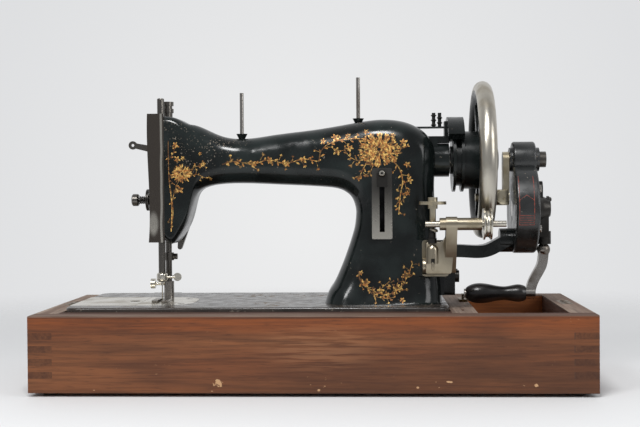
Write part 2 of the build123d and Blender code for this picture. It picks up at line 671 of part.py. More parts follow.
# Rear hinges: a leaf with two ears on the back board, and a tongue let into the bed
with BuildPart() as hinge_brackets:
    for x in HINGE_PLACES:
        half = HINGE_BARREL_LENGTH / 2 + SLIP_GAP
        block((x - HINGE_HALF, INNER_Y, HINGE_FLOOR),
              (x + HINGE_HALF, INNER_Y + HINGE_LEAF_DEPTH, HINGE_FLOOR + HINGE_LEAF_THICK))
        for start in (x - half - HINGE_EAR_LENGTH, x + half):
            rod((start, HINGE_Y, HINGE_Z), (start + HINGE_EAR_LENGTH, HINGE_Y, HINGE_Z), HINGE_BARREL_RADIUS)
            block((start, HINGE_Y - HINGE_BARREL_RADIUS, HINGE_FLOOR),
                  (start + HINGE_EAR_LENGTH, HINGE_Y + HINGE_BARREL_RADIUS, HINGE_Z))
        rod((x - half - HINGE_EAR_LENGTH, HINGE_Y, HINGE_Z), (x + half + HINGE_EAR_LENGTH, HINGE_Y, HINGE_Z),
            HINGE_PIN_RADIUS)
save(hinge_brackets, "hinge_brackets")

TONGUE_LOW = HINGE_Z - HINGE_BARREL_RADIUS
with BuildPart() as hinge_tongues:
    for x in HINGE_PLACES:
        half = HINGE_BARREL_LENGTH / 2
        rod((x - half, HINGE_Y, HINGE_Z), (x + half, HINGE_Y, HINGE_Z), HINGE_BARREL_RADIUS)
        block((x - half, BED_BACK - HINGE_TONGUE_SEAT, TONGUE_LOW),
              (x + half, HINGE_Y, TONGUE_LOW + HINGE_TONGUE_THICK))
        rod((x - half - CUT_OVERRUN, HINGE_Y, HINGE_Z), (x + half + CUT_OVERRUN, HINGE_Y, HINGE_Z),
            HINGE_PIN_RADIUS + RUNNING_GAP, Mode.SUBTRACT)
save(hinge_tongues, "hinge_tongues")

# Bed: a cast plate with a skirt, let-in seats for the plates and lugs for the hook shaft
SHAFT_LUG_PLACES = [BED_LEFT + share * BED_LENGTH for share in SHAFT_LUG_PLACE_SHARES]
PILLAR_MIDDLE = ARM_LEFT + ARM_LENGTH * (ARM_STATION_SHARES[-1][0] + ARM_STATION_SHARES[-1][2]) / 2
with BuildPart() as bed:
    with BuildSketch(Plane.XY.offset(BED_BOTTOM)):
        with Locations(((BED_LEFT + BED_RIGHT) / 2, BED_MIDDLE_Y)):
            RectangleRounded(BED_LENGTH, BED_BACK - BED_FRONT, BED_CORNER)
    extrude(amount=BED_SKIRT)
    fillet(bed.faces().sort_by(Axis.Z)[-1].edges(), BED_ROUND)
    with BuildSketch(Plane.XY.offset(BED_BOTTOM)):
        with Locations(((BED_LEFT + BED_RIGHT) / 2, BED_MIDDLE_Y)):
            RectangleRounded(BED_LENGTH - 2 * BED_WALL, BED_BACK - BED_FRONT - 2 * BED_WALL,
                             BED_CORNER - BED_WALL)
    extrude(amount=BED_SKIRT - BED_PLATE, mode=Mode.SUBTRACT)
    for x in SHAFT_LUG_PLACES:
        block((x - SHAFT_LUG_LENGTH / 2, ARM_Y - SHAFT_LUG_WIDTH / 2, HOOK_Z),
              (x + SHAFT_LUG_LENGTH / 2, ARM_Y + SHAFT_LUG_WIDTH / 2, BED_Z - BED_PLATE))
        rod((x - SHAFT_LUG_LENGTH / 2, ARM_Y, HOOK_Z), (x + SHAFT_LUG_LENGTH / 2, ARM_Y, HOOK_Z),
            SHAFT_LUG_WIDTH / 2)
        rod((x - SHAFT_LUG_LENGTH, ARM_Y, HOOK_Z), (x + SHAFT_LUG_LENGTH, ARM_Y, HOOK_Z),
            HOOK_SHAFT_RADIUS + RUNNING_GAP, Mode.SUBTRACT)
    with BuildSketch(Plane.XY.offset(PLATE_FLOOR)) as plate_seat:
        with Locations(((BED_LEFT + PLATE_RIGHT) / 2, ARM_Y)):
            Rectangle(PLATE_RIGHT - BED_LEFT + 2 * SLIP_GAP, PLATE_WIDTH + 2 * SLIP_GAP)
        fillet(plate_seat.vertices().group_by(Axis.X)[-1], PLATE_ROUND)
    extrude(amount=PLATE_THICK + CUT_OVERRUN, mode=Mode.SUBTRACT)
    with BuildSketch(Plane.XY.offset(BED_Z - BED_PLATE)):
        with Locations((BED_LEFT + HOOK_OPENING_INSET + HOOK_OPENING_LENGTH / 2, ARM_Y)):
            Rectangle(HOOK_OPENING_LENGTH, HOOK_OPENING_WIDTH)
        with Locations((NEEDLE_X, ARM_Y)):
            Rectangle(FEED_OPENING_LENGTH, FEED_OPENING_WIDTH)
        with Locations((PILLAR_MIDDLE, ARM_Y)):
            Rectangle(PILLAR_OPENING_LENGTH, PILLAR_OPENING_WIDTH)
    extrude(amount=BED_PLATE, mode=Mode.SUBTRACT)
    for x in HINGE_PLACES:
        block((x - HINGE_BARREL_LENGTH / 2, BED_BACK - HINGE_TONGUE_SEAT, TONGUE_LOW),
              (x + HINGE_BARREL_LENGTH / 2, BED_BACK + CUT_OVERRUN,
               TONGUE_LOW + HINGE_TONGUE_THICK), Mode.SUBTRACT)
save(bed, "bed")

with BuildPart() as needle_plate:
    with BuildSketch(Plane.XY.offset(PLATE_FLOOR)) as needle_plate_outline:
        with Locations(((PLATE_SPLIT + PLATE_RIGHT) / 2, ARM_Y)):
            Rectangle(PLATE_RIGHT - PLATE_SPLIT, PLATE_WIDTH)
        fillet(needle_plate_outline.vertices().group_by(Axis.X)[-1], PLATE_ROUND)
        with Locations((NEEDLE_X, ARM_Y)):
            Circle(NEEDLE_HOLE_RADIUS, mode=Mode.SUBTRACT)
        with Locations((NEEDLE_X - FEED_SLOT_SPREAD, ARM_Y), (NEEDLE_X + FEED_SLOT_SPREAD, ARM_Y)):
            Rectangle(FEED_SLOT_WIDTH, FEED_SLOT_LENGTH, mode=Mode.SUBTRACT)
    extrude(amount=PLATE_THICK)
save(needle_plate, "needle_plate")

with BuildPart() as slide_plate:
    with BuildSketch(Plane.XY.offset(PLATE_FLOOR + RUNNING_GAP)):
        with Locations(((BED_LEFT + PLATE_SPLIT - SLIP_GAP) / 2, ARM_Y)):
            Rectangle(PLATE_SPLIT - SLIP_GAP - BED_LEFT, PLATE_WIDTH)
        with Locations((PLATE_SPLIT - FINGER_HOLE_INSET, ARM_Y)):
            Circle(FINGER_HOLE_RADIUS, mode=Mode.SUBTRACT)
    extrude(amount=PLATE_THICK - RUNNING_GAP)
save(slide_plate, "slide_plate")


# Arm: one lofted casting from the head to the pillar's foot, hollow on both sides of the bearing web
def arm_points(station):
    """Inner and outer outline points of one section, measured from the foot of the arm's left end."""
    inner = Vector(station[0] * ARM_LENGTH, 0, station[1] * ARM_HEIGHT)
    outer = Vector(station[2] * ARM_LENGTH, 0, station[3] * ARM_HEIGHT)
    return inner, outer


def arm_plane(station):
    """Plane of one section, its own X to the back and its own Y from inner to outer outline."""
    inner, outer = arm_points(station)
    return Plane(origin=(inner + outer) / 2, x_dir=(0, 1, 0), z_dir=Vector(0, 1, 0).cross(outer - inner))


def hollow_plane(station):
    """Plane of one section of the hollow, which runs out past the arm's two ends."""
    if station == ARM_STATION_SHARES[0]:
        return arm_plane(station).offset(-CUT_OVERRUN)
    if station == ARM_STATION_SHARES[-1]:
        return arm_plane(station).offset(CUT_OVERRUN)
    return arm_plane(station)


def arm_size(station, wall):
    """Width, height and corner radius of one section, taken in by a wall."""
    inner, outer = arm_points(station)
    depth = station[4] * ARM_DEPTH
    return depth - 2 * wall, (outer - inner).length - 2 * wall, station[5] * depth - wall


WEB_LEFT = ARM_LEFT + ARM_LENGTH * ARM_STATION_SHARES[WEB_STATION - 1][0]
WEB_RIGHT = ARM_LEFT + ARM_LENGTH * ARM_STATION_SHARES[WEB_STATION][0]
GUARD_PAD_X = ARM_RIGHT - GUARD_PAD_REACH
GUARD_EAR_LOW = SHAFT_Z + GUARD_EAR_RISE
WINDER_PAD_X = ARM_RIGHT - WINDER_PAD_SETBACK
SPOOL_PLACES = [(ARM_LEFT + x * ARM_LENGTH, BED_Z + z * ARM_HEIGHT)
                for x, z in zip(SPOOL_PLACE_SHARES, SPOOL_BASE_SHARES)]
GUARD_LEFT = ARM_RIGHT + GUARD_START
GUIDE_LEFT = GUARD_LEFT - GUIDE_SETBACK - GUIDE_LENGTH
GUIDE_Z = BED_Z + GUIDE_Z_SHARE * ARM_HEIGHT
LIFTER_X = ARM_LEFT + LIFTER_PIVOT_X_OFFSET
LIFTER_Z = BED_Z + ARM_HEIGHT * LIFTER_PIVOT_RISE_SHARE
LIFTER_Y = ARM_Y + HEAD_HALF + SLIP_GAP
SCALE_Z = BED_Z + ARM_HEIGHT * SCALE_LOW_SHARE
SCALE_HEIGHT = ARM_HEIGHT * SCALE_HEIGHT_SHARE
SCALE_SLOT_HEIGHT = SCALE_HEIGHT * SCALE_SLOT_HEIGHT_SHARE
SCALE_BACK = PILLAR_FRONT + SCALE_SEAT
BRACKET_TOP = SHAFT_Z - WHEEL_RADIUS - BRACKET_GAP
BRACKET_FLOOR = BED_Z + BRACKET_LOW
BOLT_Z = BRACKET_FLOOR + BOLT_RISE_SHARE * (BRACKET_TOP - BRACKET_ARM_HEIGHT - BRACKET_FLOOR)
BOLT_PLACES = [(ARM_Y + side * BOLT_SPREAD / 2, BOLT_Z) for side in (-1, 1)]
with BuildPart() as arm_casting:
    for station in ARM_STATION_SHARES:
        with BuildSketch(arm_plane(station)):
            RectangleRounded(*arm_size(station, 0))
    loft()
    for stations in (ARM_STATION_SHARES[:WEB_STATION], ARM_STATION_SHARES[WEB_STATION:]):
        for station in stations:
            with BuildSketch(hollow_plane(station)):
                RectangleRounded(*arm_size(station, ARM_WALL))
        loft(mode=Mode.SUBTRACT)

with BuildPart() as arm:
    with Locations((ARM_LEFT, ARM_Y, BED_Z)):
        add(arm_casting.part)
    # Lugs that carry the needle bar and the presser bar
    for low in (HEAD_BOTTOM, ARM_TOP - LUG_THICK):
        block((ARM_LEFT - LUG_REACH, ARM_Y - LUG_FRONT, low),
              (ARM_LEFT + ARM_WALL, ARM_Y + HEAD_HALF - FACE_WALL - SLIP_GAP, low + LUG_THICK))
    # Shaft boss, and flat pads for the bracket, the guard and the winder
    rod((BOSS_RIGHT - BOSS_DEPTH, ARM_Y, SHAFT_Z), (BOSS_RIGHT, ARM_Y, SHAFT_Z), BOSS_RADIUS)
    block((BRACKET_X - BRACKET_PAD_DEPTH, ARM_Y - BRACKET_PAD_WIDTH / 2, BRACKET_FLOOR),
          (BRACKET_X, ARM_Y + BRACKET_PAD_WIDTH / 2, BRACKET_TOP))
    block((GUARD_PAD_X - GUARD_PAD_DEPTH, ARM_Y - GUARD_PAD_WIDTH / 2, GUARD_EAR_LOW - ARM_WALL),
          (GUARD_PAD_X, ARM_Y + GUARD_PAD_WIDTH / 2, GUARD_EAR_LOW + GUARD_EAR_HEIGHT))
    block((WINDER_PAD_X, WINDER_SEAT_Y, BED_Z + WINDER_PLATE_LOW),
          (WINDER_PAD_X + WINDER_PAD_WIDTH, WINDER_SEAT_Y + WINDER_PAD_DEPTH,
           BED_Z + WINDER_PLATE_LOW + WINDER_PLATE_HEIGHT))
    # Stud of the take-up lever inside the head's front wall
    rod((TAKE_UP_X, ARM_Y - HEAD_HALF + ARM_WALL / 2, TAKE_UP_Z),
        (TAKE_UP_X, TAKE_UP_Y + TAKE_UP_THICK / 2 + END_GAP, TAKE_UP_Z), TAKE_UP_STUD_RADIUS)
    # Bores
    rod((BOSS_RIGHT - BOSS_DEPTH - CUT_OVERRUN, ARM_Y, SHAFT_Z), (BOSS_RIGHT + CUT_OVERRUN, ARM_Y, SHAFT_Z),
        BUSH_RADIUS, Mode.SUBTRACT)
    rod((WEB_LEFT - CUT_OVERRUN, ARM_Y, SHAFT_Z), (WEB_RIGHT + CUT_OVERRUN, ARM_Y, SHAFT_Z),
        BUSH_RADIUS, Mode.SUBTRACT)
    rod((NEEDLE_X, ARM_Y, HEAD_BOTTOM - CUT_OVERRUN), (NEEDLE_X, ARM_Y, ARM_TOP + CUT_OVERRUN),
        BAR_BUSH_RADIUS, Mode.SUBTRACT)
    rod((PRESSER_X, PRESSER_Y, HEAD_BOTTOM - CUT_OVERRUN),
        (PRESSER_X, PRESSER_Y, HEAD_BOTTOM + LUG_THICK + CUT_OVERRUN),
        PRESSER_BAR_RADIUS + RUNNING_GAP, Mode.SUBTRACT)
    rod((PRESSER_X, PRESSER_Y, ARM_TOP - PRESSURE_SHANK_LENGTH),
        (PRESSER_X, PRESSER_Y, ARM_TOP + CUT_OVERRUN),
        PRESSURE_SHANK_RADIUS + RUNNING_GAP, Mode.SUBTRACT)
    rod((LIFTER_X, LIFTER_Y - HEAD_HALF / 2, LIFTER_Z), (LIFTER_X, LIFTER_Y + CUT_OVERRUN, LIFTER_Z),
        LIFTER_STUD_RADIUS + RUNNING_GAP, Mode.SUBTRACT)
    for x, z in SPOOL_PLACES:
        rod((x, ARM_Y, z), (x, ARM_Y, z + SPOOL_SHANK), SPOOL_CUP_RADIUS, Mode.SUBTRACT)
        rod((x, ARM_Y, z - SPOOL_SHANK), (x, ARM_Y, z + CUT_OVERRUN), SPOOL_PIN_RADIUS, Mode.SUBTRACT)
    for y, z in BOLT_PLACES:
        rod((BRACKET_X + BRACKET_FLANGE - BOLT_LENGTH, y, z), (BRACKET_X + CUT_OVERRUN, y, z), BOLT_RADIUS,
            Mode.SUBTRACT)
    # Seats of the stitch scale and the thread guide, and the lever's slot
    block((SCALE_X - SCALE_WIDTH / 2, SCALE_BACK - 2 * SCALE_THICK, SCALE_Z),
          (SCALE_X + SCALE_WIDTH / 2, SCALE_BACK, SCALE_Z + SCALE_HEIGHT), Mode.SUBTRACT)
    block((SCALE_X - SCALE_SLOT_WIDTH / 2, PILLAR_FRONT - CUT_OVERRUN, SCALE_Z + SCALE_SLOT_LOW),
          (SCALE_X + SCALE_SLOT_WIDTH / 2, PILLAR_FRONT + 2 * ARM_WALL,
           SCALE_Z + SCALE_SLOT_LOW + SCALE_SLOT_HEIGHT),
          Mode.SUBTRACT)
    block((GUIDE_LEFT, ARM_Y - GUIDE_WIDTH / 2, GUIDE_Z),
          (GUIDE_LEFT + GUIDE_LENGTH, ARM_Y + GUIDE_WIDTH / 2, GUIDE_Z + GUIDE_WIDTH), Mode.SUBTRACT)
save(arm, "arm")


# Face plate: a waisted cover, open to the head and at both ends
def face_outline(shift):
    """Outline of the face plate in the front view, its left edge moved right by a shift."""
    points = [(FACE_LEFT + shift + x * FACE_WIDTH, FACE_BOTTOM + z * FACE_HEIGHT) for x,
              z in FACE_EDGE_SHARES]
    Spline(*points)
    Polyline(points[-1], (ARM_LEFT, points[-1][1]), (ARM_LEFT, points[0][1]), points[0])


with BuildPart() as face_plate:
    with BuildSketch(FRONT_VIEW):
        with BuildLine():
            face_outline(0)
        make_face()
    extrude(amount=HEAD_HALF, both=True)
    fillet(face_plate.faces().sort_by(Axis.X)[0].edges().filter_by(GeomType.BSPLINE), FACE_ROUND)
    with BuildSketch(FRONT_VIEW):
        with BuildLine():
            face_outline(FACE_WALL)
        make_face()
    extrude(amount=HEAD_HALF - FACE_WALL, both=True, mode=Mode.SUBTRACT)
    block((FACE_LEFT - CUT_OVERRUN, TAKE_UP_Y - TAKE_UP_THICK / 2 - SLIP_GAP, TAKE_UP_Z - TAKE_UP_SLOT_LOW),
          (FACE_LEFT + FACE_WIDTH / 2, TAKE_UP_Y + TAKE_UP_THICK / 2 + SLIP_GAP,
           TAKE_UP_Z + TAKE_UP_SLOT_HIGH),
          Mode.SUBTRACT)
    rod((FACE_LEFT - CUT_OVERRUN, ARM_Y, TENSION_Z), (FACE_LEFT + FACE_WIDTH / 2, ARM_Y, TENSION_Z),
        TENSION_STUD_RADIUS, Mode.SUBTRACT)
save(face_plate, "face_plate")

# Needle bar, its bushes, link, clamp and needle
BAR_FOOT_Z = BED_Z + NEEDLE_BAR_FOOT
with BuildPart() as needle_bar:
    rod((NEEDLE_X, ARM_Y, BAR_FOOT_Z), (NEEDLE_X, ARM_Y, ARM_TOP + NEEDLE_BAR_RISE), NEEDLE_BAR_RADIUS)
    fillet(needle_bar.edges().group_by(Axis.Z)[-1], NEEDLE_BAR_ROUND)
    rod((NEEDLE_X, ARM_Y, NEEDLE_COLLAR_Z), (NEEDLE_X, ARM_Y, NEEDLE_COLLAR_Z + NEEDLE_COLLAR_HEIGHT),
        NEEDLE_COLLAR_RADIUS)
    rod((NEEDLE_X, ARM_Y, BAR_FOOT_Z - CUT_OVERRUN), (NEEDLE_X, ARM_Y, BAR_FOOT_Z + NEEDLE_SHANK_DEPTH),
        NEEDLE_SHANK_RADIUS, Mode.SUBTRACT)
save(needle_bar, "needle_bar")

with BuildPart() as needle_bar_bushes:
    for low, high in ((HEAD_BOTTOM - BAR_BUSH_PROUD, HEAD_BOTTOM + LUG_THICK),
                      (ARM_TOP - LUG_THICK, ARM_TOP + BAR_BUSH_PROUD)):
        rod((NEEDLE_X, ARM_Y, low), (NEEDLE_X, ARM_Y, high), BAR_BUSH_RADIUS)
        rod((NEEDLE_X, ARM_Y, low - CUT_OVERRUN), (NEEDLE_X, ARM_Y, high + CUT_OVERRUN),
            NEEDLE_BAR_RADIUS + RUNNING_GAP, Mode.SUBTRACT)
save(needle_bar_bushes, "needle_bar_bushes")

LINK_X = NEEDLE_X + NEEDLE_COLLAR_RADIUS
CRANK_PIN_Z = SHAFT_Z - CRANK_PIN_THROW
COLLAR_Z = NEEDLE_COLLAR_Z + NEEDLE_COLLAR_HEIGHT / 2
with BuildPart() as needle_link:
    with BuildSketch(across(LINK_X)):
        with Locations((ARM_Y, COLLAR_Z), (ARM_Y, CRANK_PIN_Z)):
            Circle(LINK_EYE_RADIUS)
        make_hull()
        with Locations((ARM_Y, CRANK_PIN_Z)):
            Circle(CRANK_PIN_RADIUS, mode=Mode.SUBTRACT)
    extrude(amount=LINK_THICK)
save(needle_link, "needle_link")

CLAMP_Z = BED_Z + CLAMP_RISE
CLAMP_MIDDLE = CLAMP_Z + CLAMP_HEIGHT / 2
THUMB_X = NEEDLE_X + NEEDLE_BAR_RADIUS + CLAMP_SCREW_LENGTH
with BuildPart() as needle_clamp:
    rod((NEEDLE_X, ARM_Y, CLAMP_Z), (NEEDLE_X, ARM_Y, CLAMP_Z + CLAMP_HEIGHT), CLAMP_RADIUS)
    fillet(needle_clamp.edges().filter_by(GeomType.CIRCLE), CLAMP_ROUND)
    rod((NEEDLE_X + NEEDLE_BAR_RADIUS, ARM_Y, CLAMP_MIDDLE), (THUMB_X, ARM_Y, CLAMP_MIDDLE),
        CLAMP_SCREW_RADIUS)
    rod((THUMB_X + CLAMP_THUMB_RADIUS / 2, ARM_Y - CLAMP_THUMB_THICK / 2, CLAMP_MIDDLE),
        (THUMB_X + CLAMP_THUMB_RADIUS / 2, ARM_Y + CLAMP_THUMB_THICK / 2, CLAMP_MIDDLE), CLAMP_THUMB_RADIUS)
    rod((NEEDLE_X, ARM_Y, CLAMP_Z - CUT_OVERRUN), (NEEDLE_X, ARM_Y, CLAMP_Z + CLAMP_HEIGHT + CUT_OVERRUN),
        NEEDLE_BAR_RADIUS, Mode.SUBTRACT)
save(needle_clamp, "needle_clamp")

NEEDLE_TIP_Z = BAR_FOOT_Z - NEEDLE_DROP
with BuildPart() as needle:
    rod((NEEDLE_X, ARM_Y, BAR_FOOT_Z - NEEDLE_POINT), (NEEDLE_X, ARM_Y, BAR_FOOT_Z + NEEDLE_SHANK_DEPTH),
        NEEDLE_SHANK_RADIUS)
    rod((NEEDLE_X, ARM_Y, NEEDLE_TIP_Z), (NEEDLE_X, ARM_Y, BAR_FOOT_Z), NEEDLE_BLADE_RADIUS)
    with Locations((NEEDLE_X, ARM_Y, NEEDLE_TIP_Z - NEEDLE_POINT)):
        Cone(NEEDLE_BLADE_RADIUS / 4, NEEDLE_BLADE_RADIUS, NEEDLE_POINT,
             align=(Align.CENTER, Align.CENTER, Align.MIN))
save(needle, "needle")

TAKE_UP_EYE = (TAKE_UP_X - TAKE_UP_REACH, TAKE_UP_Z + TAKE_UP_LIFT)
with BuildPart() as take_up_lever:
    with BuildSketch(FRONT_VIEW.offset(TAKE_UP_OFFSET)):
        with Locations((TAKE_UP_X, TAKE_UP_Z)):
            Circle(TAKE_UP_ROOT_RADIUS)
        with Locations(TAKE_UP_EYE):
            Circle(TAKE_UP_TIP_RADIUS)
        make_hull()
        with Locations(TAKE_UP_EYE):
            Circle(TAKE_UP_EYE_RADIUS)
            Circle(TAKE_UP_HOLE_RADIUS, mode=Mode.SUBTRACT)
        with Locations((TAKE_UP_X, TAKE_UP_Z)):
            Circle(TAKE_UP_STUD_RADIUS + RUNNING_GAP, mode=Mode.SUBTRACT)
    extrude(amount=TAKE_UP_THICK / 2, both=True)
save(take_up_lever, "take_up_lever")

# Thread tension: stud with a collar, two discs, spring and nut
STUD_COLLAR_X = FACE_LEFT - TENSION_COLLAR_LENGTH
DISC_PLACES = [STUD_COLLAR_X - i * (TENSION_DISC_THICK + TENSION_DISC_GAP) for i in range(2)]
with BuildPart() as tension_discs:
    rod((FACE_LEFT + 2 * FACE_WALL, ARM_Y, TENSION_Z), (FACE_LEFT - TENSION_STUD_REACH, ARM_Y, TENSION_Z),
        TENSION_STUD_RADIUS)
    rod((STUD_COLLAR_X, ARM_Y, TENSION_Z), (FACE_LEFT, ARM_Y, TENSION_Z), TENSION_COLLAR_RADIUS)
    for x in DISC_PLACES:
        rod((x - TENSION_DISC_THICK, ARM_Y, TENSION_Z), (x, ARM_Y, TENSION_Z), TENSION_DISC_RADIUS)
save(tension_discs, "tension_discs")

NUT_RIGHT = FACE_LEFT - TENSION_STUD_REACH + TENSION_NUT_LENGTH
SPRING_RIGHT = DISC_PLACES[-1] - TENSION_DISC_THICK - RUNNING_GAP
SPRING_LENGTH = SPRING_RIGHT - NUT_RIGHT - 2 * RUNNING_GAP - 2 * TENSION_WIRE_RADIUS
SPRING_START = (SPRING_RIGHT - TENSION_WIRE_RADIUS, ARM_Y, TENSION_Z)
with BuildPart() as tension_spring:
    with BuildLine():
        coil = Helix(SPRING_LENGTH / TENSION_SPRING_TURNS, SPRING_LENGTH, TENSION_SPRING_RADIUS,
                     center=SPRING_START, direction=(-1, 0, 0))
    with BuildSketch(Plane(origin=coil @ 0, z_dir=coil % 0)):
        Circle(TENSION_WIRE_RADIUS)
    sweep(path=coil)
save(tension_spring, "tension_spring")

with BuildPart() as tension_nut:
    rod((NUT_RIGHT - TENSION_NUT_LENGTH, ARM_Y, TENSION_Z), (NUT_RIGHT, ARM_Y, TENSION_Z), TENSION_NUT_RADIUS)
    chamfer(tension_nut.edges().filter_by(GeomType.CIRCLE), TENSION_NUT_ROUND)
    rod((NUT_RIGHT - TENSION_NUT_LENGTH - CUT_OVERRUN, ARM_Y, TENSION_Z),
        (NUT_RIGHT + CUT_OVERRUN, ARM_Y, TENSION_Z),
        TENSION_STUD_RADIUS + RUNNING_GAP, Mode.SUBTRACT)
save(tension_nut, "tension_nut")

# Presser bar with the thread cutter, pressure screw and foot
CUTTER_Z = BED_Z + CUTTER_RISE
with BuildPart() as presser_bar:
    rod((PRESSER_X, PRESSER_Y, BED_Z + PRESSER_BAR_FOOT), (PRESSER_X, PRESSER_Y, ARM_TOP - PRESSER_BAR_DROP),
        PRESSER_BAR_RADIUS)
    rod((PRESSER_X, PRESSER_Y, CUTTER_Z - CUTTER_HEIGHT / 2),
        (PRESSER_X, PRESSER_Y, CUTTER_Z + CUTTER_HEIGHT / 2),
        CUTTER_RADIUS)
    rod((PRESSER_X, PRESSER_Y, CUTTER_Z), (PRESSER_X + CUTTER_STUB_REACH, PRESSER_Y, CUTTER_Z),
        CUTTER_STUB_RADIUS)
save(presser_bar, "presser_bar")

PRESSURE_TOP = ARM_TOP + PRESSURE_SCREW_RISE
PRESSURE_NECK_TOP = PRESSURE_TOP - PRESSURE_FLANGE_HEIGHT
PRESSURE_LOW_FLANGE = PRESSURE_NECK_TOP - PRESSURE_NECK_HEIGHT - PRESSURE_FLANGE_HEIGHT
with BuildPart() as pressure_screw:
    for low in (PRESSURE_LOW_FLANGE, PRESSURE_NECK_TOP):
        rod((PRESSER_X, PRESSER_Y, low), (PRESSER_X, PRESSER_Y, low + PRESSURE_FLANGE_HEIGHT),
            PRESSURE_HEAD_RADIUS)
    rod((PRESSER_X, PRESSER_Y, PRESSURE_LOW_FLANGE), (PRESSER_X, PRESSER_Y, PRESSURE_TOP),
        PRESSURE_NECK_RADIUS)
    rod((PRESSER_X, PRESSER_Y, ARM_TOP - PRESSURE_SHANK_LENGTH), (PRESSER_X, PRESSER_Y, PRESSURE_LOW_FLANGE),
        PRESSURE_SHANK_RADIUS)
    rod((PRESSER_X, PRESSER_Y, ARM_TOP - PRESSURE_SHANK_LENGTH - CUT_OVERRUN),
        (PRESSER_X, PRESSER_Y, PRESSURE_NECK_TOP),
        PRESSURE_BORE_RADIUS, Mode.SUBTRACT)
save(pressure_screw, "pressure_screw")

SOLE_Z = BED_Z + FOOT_LIFT
SOLE_FRONT = ARM_Y - FOOT_TOE_REACH
with BuildPart() as presser_foot:
    with BuildSketch(Plane.XY.offset(SOLE_Z)):
        with Locations((NEEDLE_X, SOLE_FRONT + FOOT_SOLE_LENGTH / 2)):
            RectangleRounded(FOOT_SOLE_WIDTH, FOOT_SOLE_LENGTH, FOOT_SLOT_WIDTH / 2)
        with Locations((NEEDLE_X, SOLE_FRONT + FOOT_SLOT_LENGTH / 2)):
            Rectangle(FOOT_SLOT_WIDTH, FOOT_SLOT_LENGTH, mode=Mode.SUBTRACT)
    extrude(amount=FOOT_SOLE_THICK)
    rod((PRESSER_X, PRESSER_Y, SOLE_Z), (PRESSER_X, PRESSER_Y, SOLE_Z + FOOT_SHANK_HEIGHT), FOOT_SHANK_RADIUS)
    rod((PRESSER_X, PRESSER_Y, BED_Z + PRESSER_BAR_FOOT),
        (PRESSER_X, PRESSER_Y, SOLE_Z + FOOT_SHANK_HEIGHT + CUT_OVERRUN),
        PRESSER_BAR_RADIUS, Mode.SUBTRACT)
    rod((PRESSER_X, PRESSER_Y, BED_Z + FOOT_SCREW_RISE),
        (PRESSER_X - 2 * FOOT_SHANK_RADIUS, PRESSER_Y, BED_Z + FOOT_SCREW_RISE),
        FOOT_SCREW_RADIUS, Mode.SUBTRACT)
save(presser_foot, "presser_foot")

FOOT_SCREW_LEFT = PRESSER_X - FOOT_SCREW_REACH
with BuildPart() as presser_foot_screw:
    rod((FOOT_SCREW_LEFT, PRESSER_Y, BED_Z + FOOT_SCREW_RISE),
        (PRESSER_X - PRESSER_BAR_RADIUS, PRESSER_Y, BED_Z + FOOT_SCREW_RISE), FOOT_SCREW_RADIUS)
    rod((FOOT_SCREW_LEFT, PRESSER_Y, BED_Z + FOOT_SCREW_RISE),
        (FOOT_SCREW_LEFT + FOOT_SCREW_HEAD_LENGTH, PRESSER_Y,
         BED_Z + FOOT_SCREW_RISE), FOOT_SCREW_HEAD_RADIUS)
save(presser_foot_screw, "presser_foot_screw")

LIFTER_BACK = LIFTER_Y + LIFTER_THICK
with BuildPart() as presser_lifter:
    with BuildSketch(Plane(origin=(0, LIFTER_BACK, 0), x_dir=(1, 0, 0), z_dir=(0, -1, 0))):
        with Locations((LIFTER_X, LIFTER_Z)):
            Circle(LIFTER_HUB_RADIUS)
        with Locations((LIFTER_X + LIFTER_TIP_X_OFFSET, LIFTER_Z - LIFTER_TIP_DROP)):
            Circle(LIFTER_TIP_RADIUS)
        make_hull()
    extrude(amount=LIFTER_THICK)
    rod((LIFTER_X, LIFTER_Y - ARM_WALL, LIFTER_Z), (LIFTER_X, LIFTER_BACK, LIFTER_Z), LIFTER_STUD_RADIUS)
    rod((LIFTER_X, LIFTER_BACK, LIFTER_Z), (LIFTER_X, LIFTER_BACK + LIFTER_STUD_HEAD_LENGTH, LIFTER_Z),
        LIFTER_STUD_HEAD_RADIUS)
save(presser_lifter, "presser_lifter")

# Main shaft with the needle crank, its bushes, the handwheel and the clutch knob
DISC_LEFT = ARM_LEFT + CRANK_DISC_SETBACK
with BuildPart() as main_shaft:
    rod((DISC_LEFT, ARM_Y, SHAFT_Z), (HUB_END, ARM_Y, SHAFT_Z), SHAFT_RADIUS)
    rod((DISC_LEFT, ARM_Y, SHAFT_Z), (DISC_LEFT + CRANK_DISC_THICK, ARM_Y, SHAFT_Z), CRANK_DISC_RADIUS)
    rod((DISC_LEFT, ARM_Y, CRANK_PIN_Z), (DISC_LEFT - CRANK_PIN_LENGTH, ARM_Y, CRANK_PIN_Z), CRANK_PIN_RADIUS)
save(main_shaft, "main_shaft")

with BuildPart() as shaft_bushes:
    for left, right in ((WEB_LEFT, WEB_RIGHT), (BOSS_RIGHT - BOSS_DEPTH, BOSS_RIGHT)):
        rod((left, ARM_Y, SHAFT_Z), (right, ARM_Y, SHAFT_Z), BUSH_RADIUS)
        rod((left - CUT_OVERRUN, ARM_Y, SHAFT_Z), (right + CUT_OVERRUN, ARM_Y, SHAFT_Z),
            SHAFT_RADIUS + RUNNING_GAP, Mode.SUBTRACT)
save(shaft_bushes, "shaft_bushes")

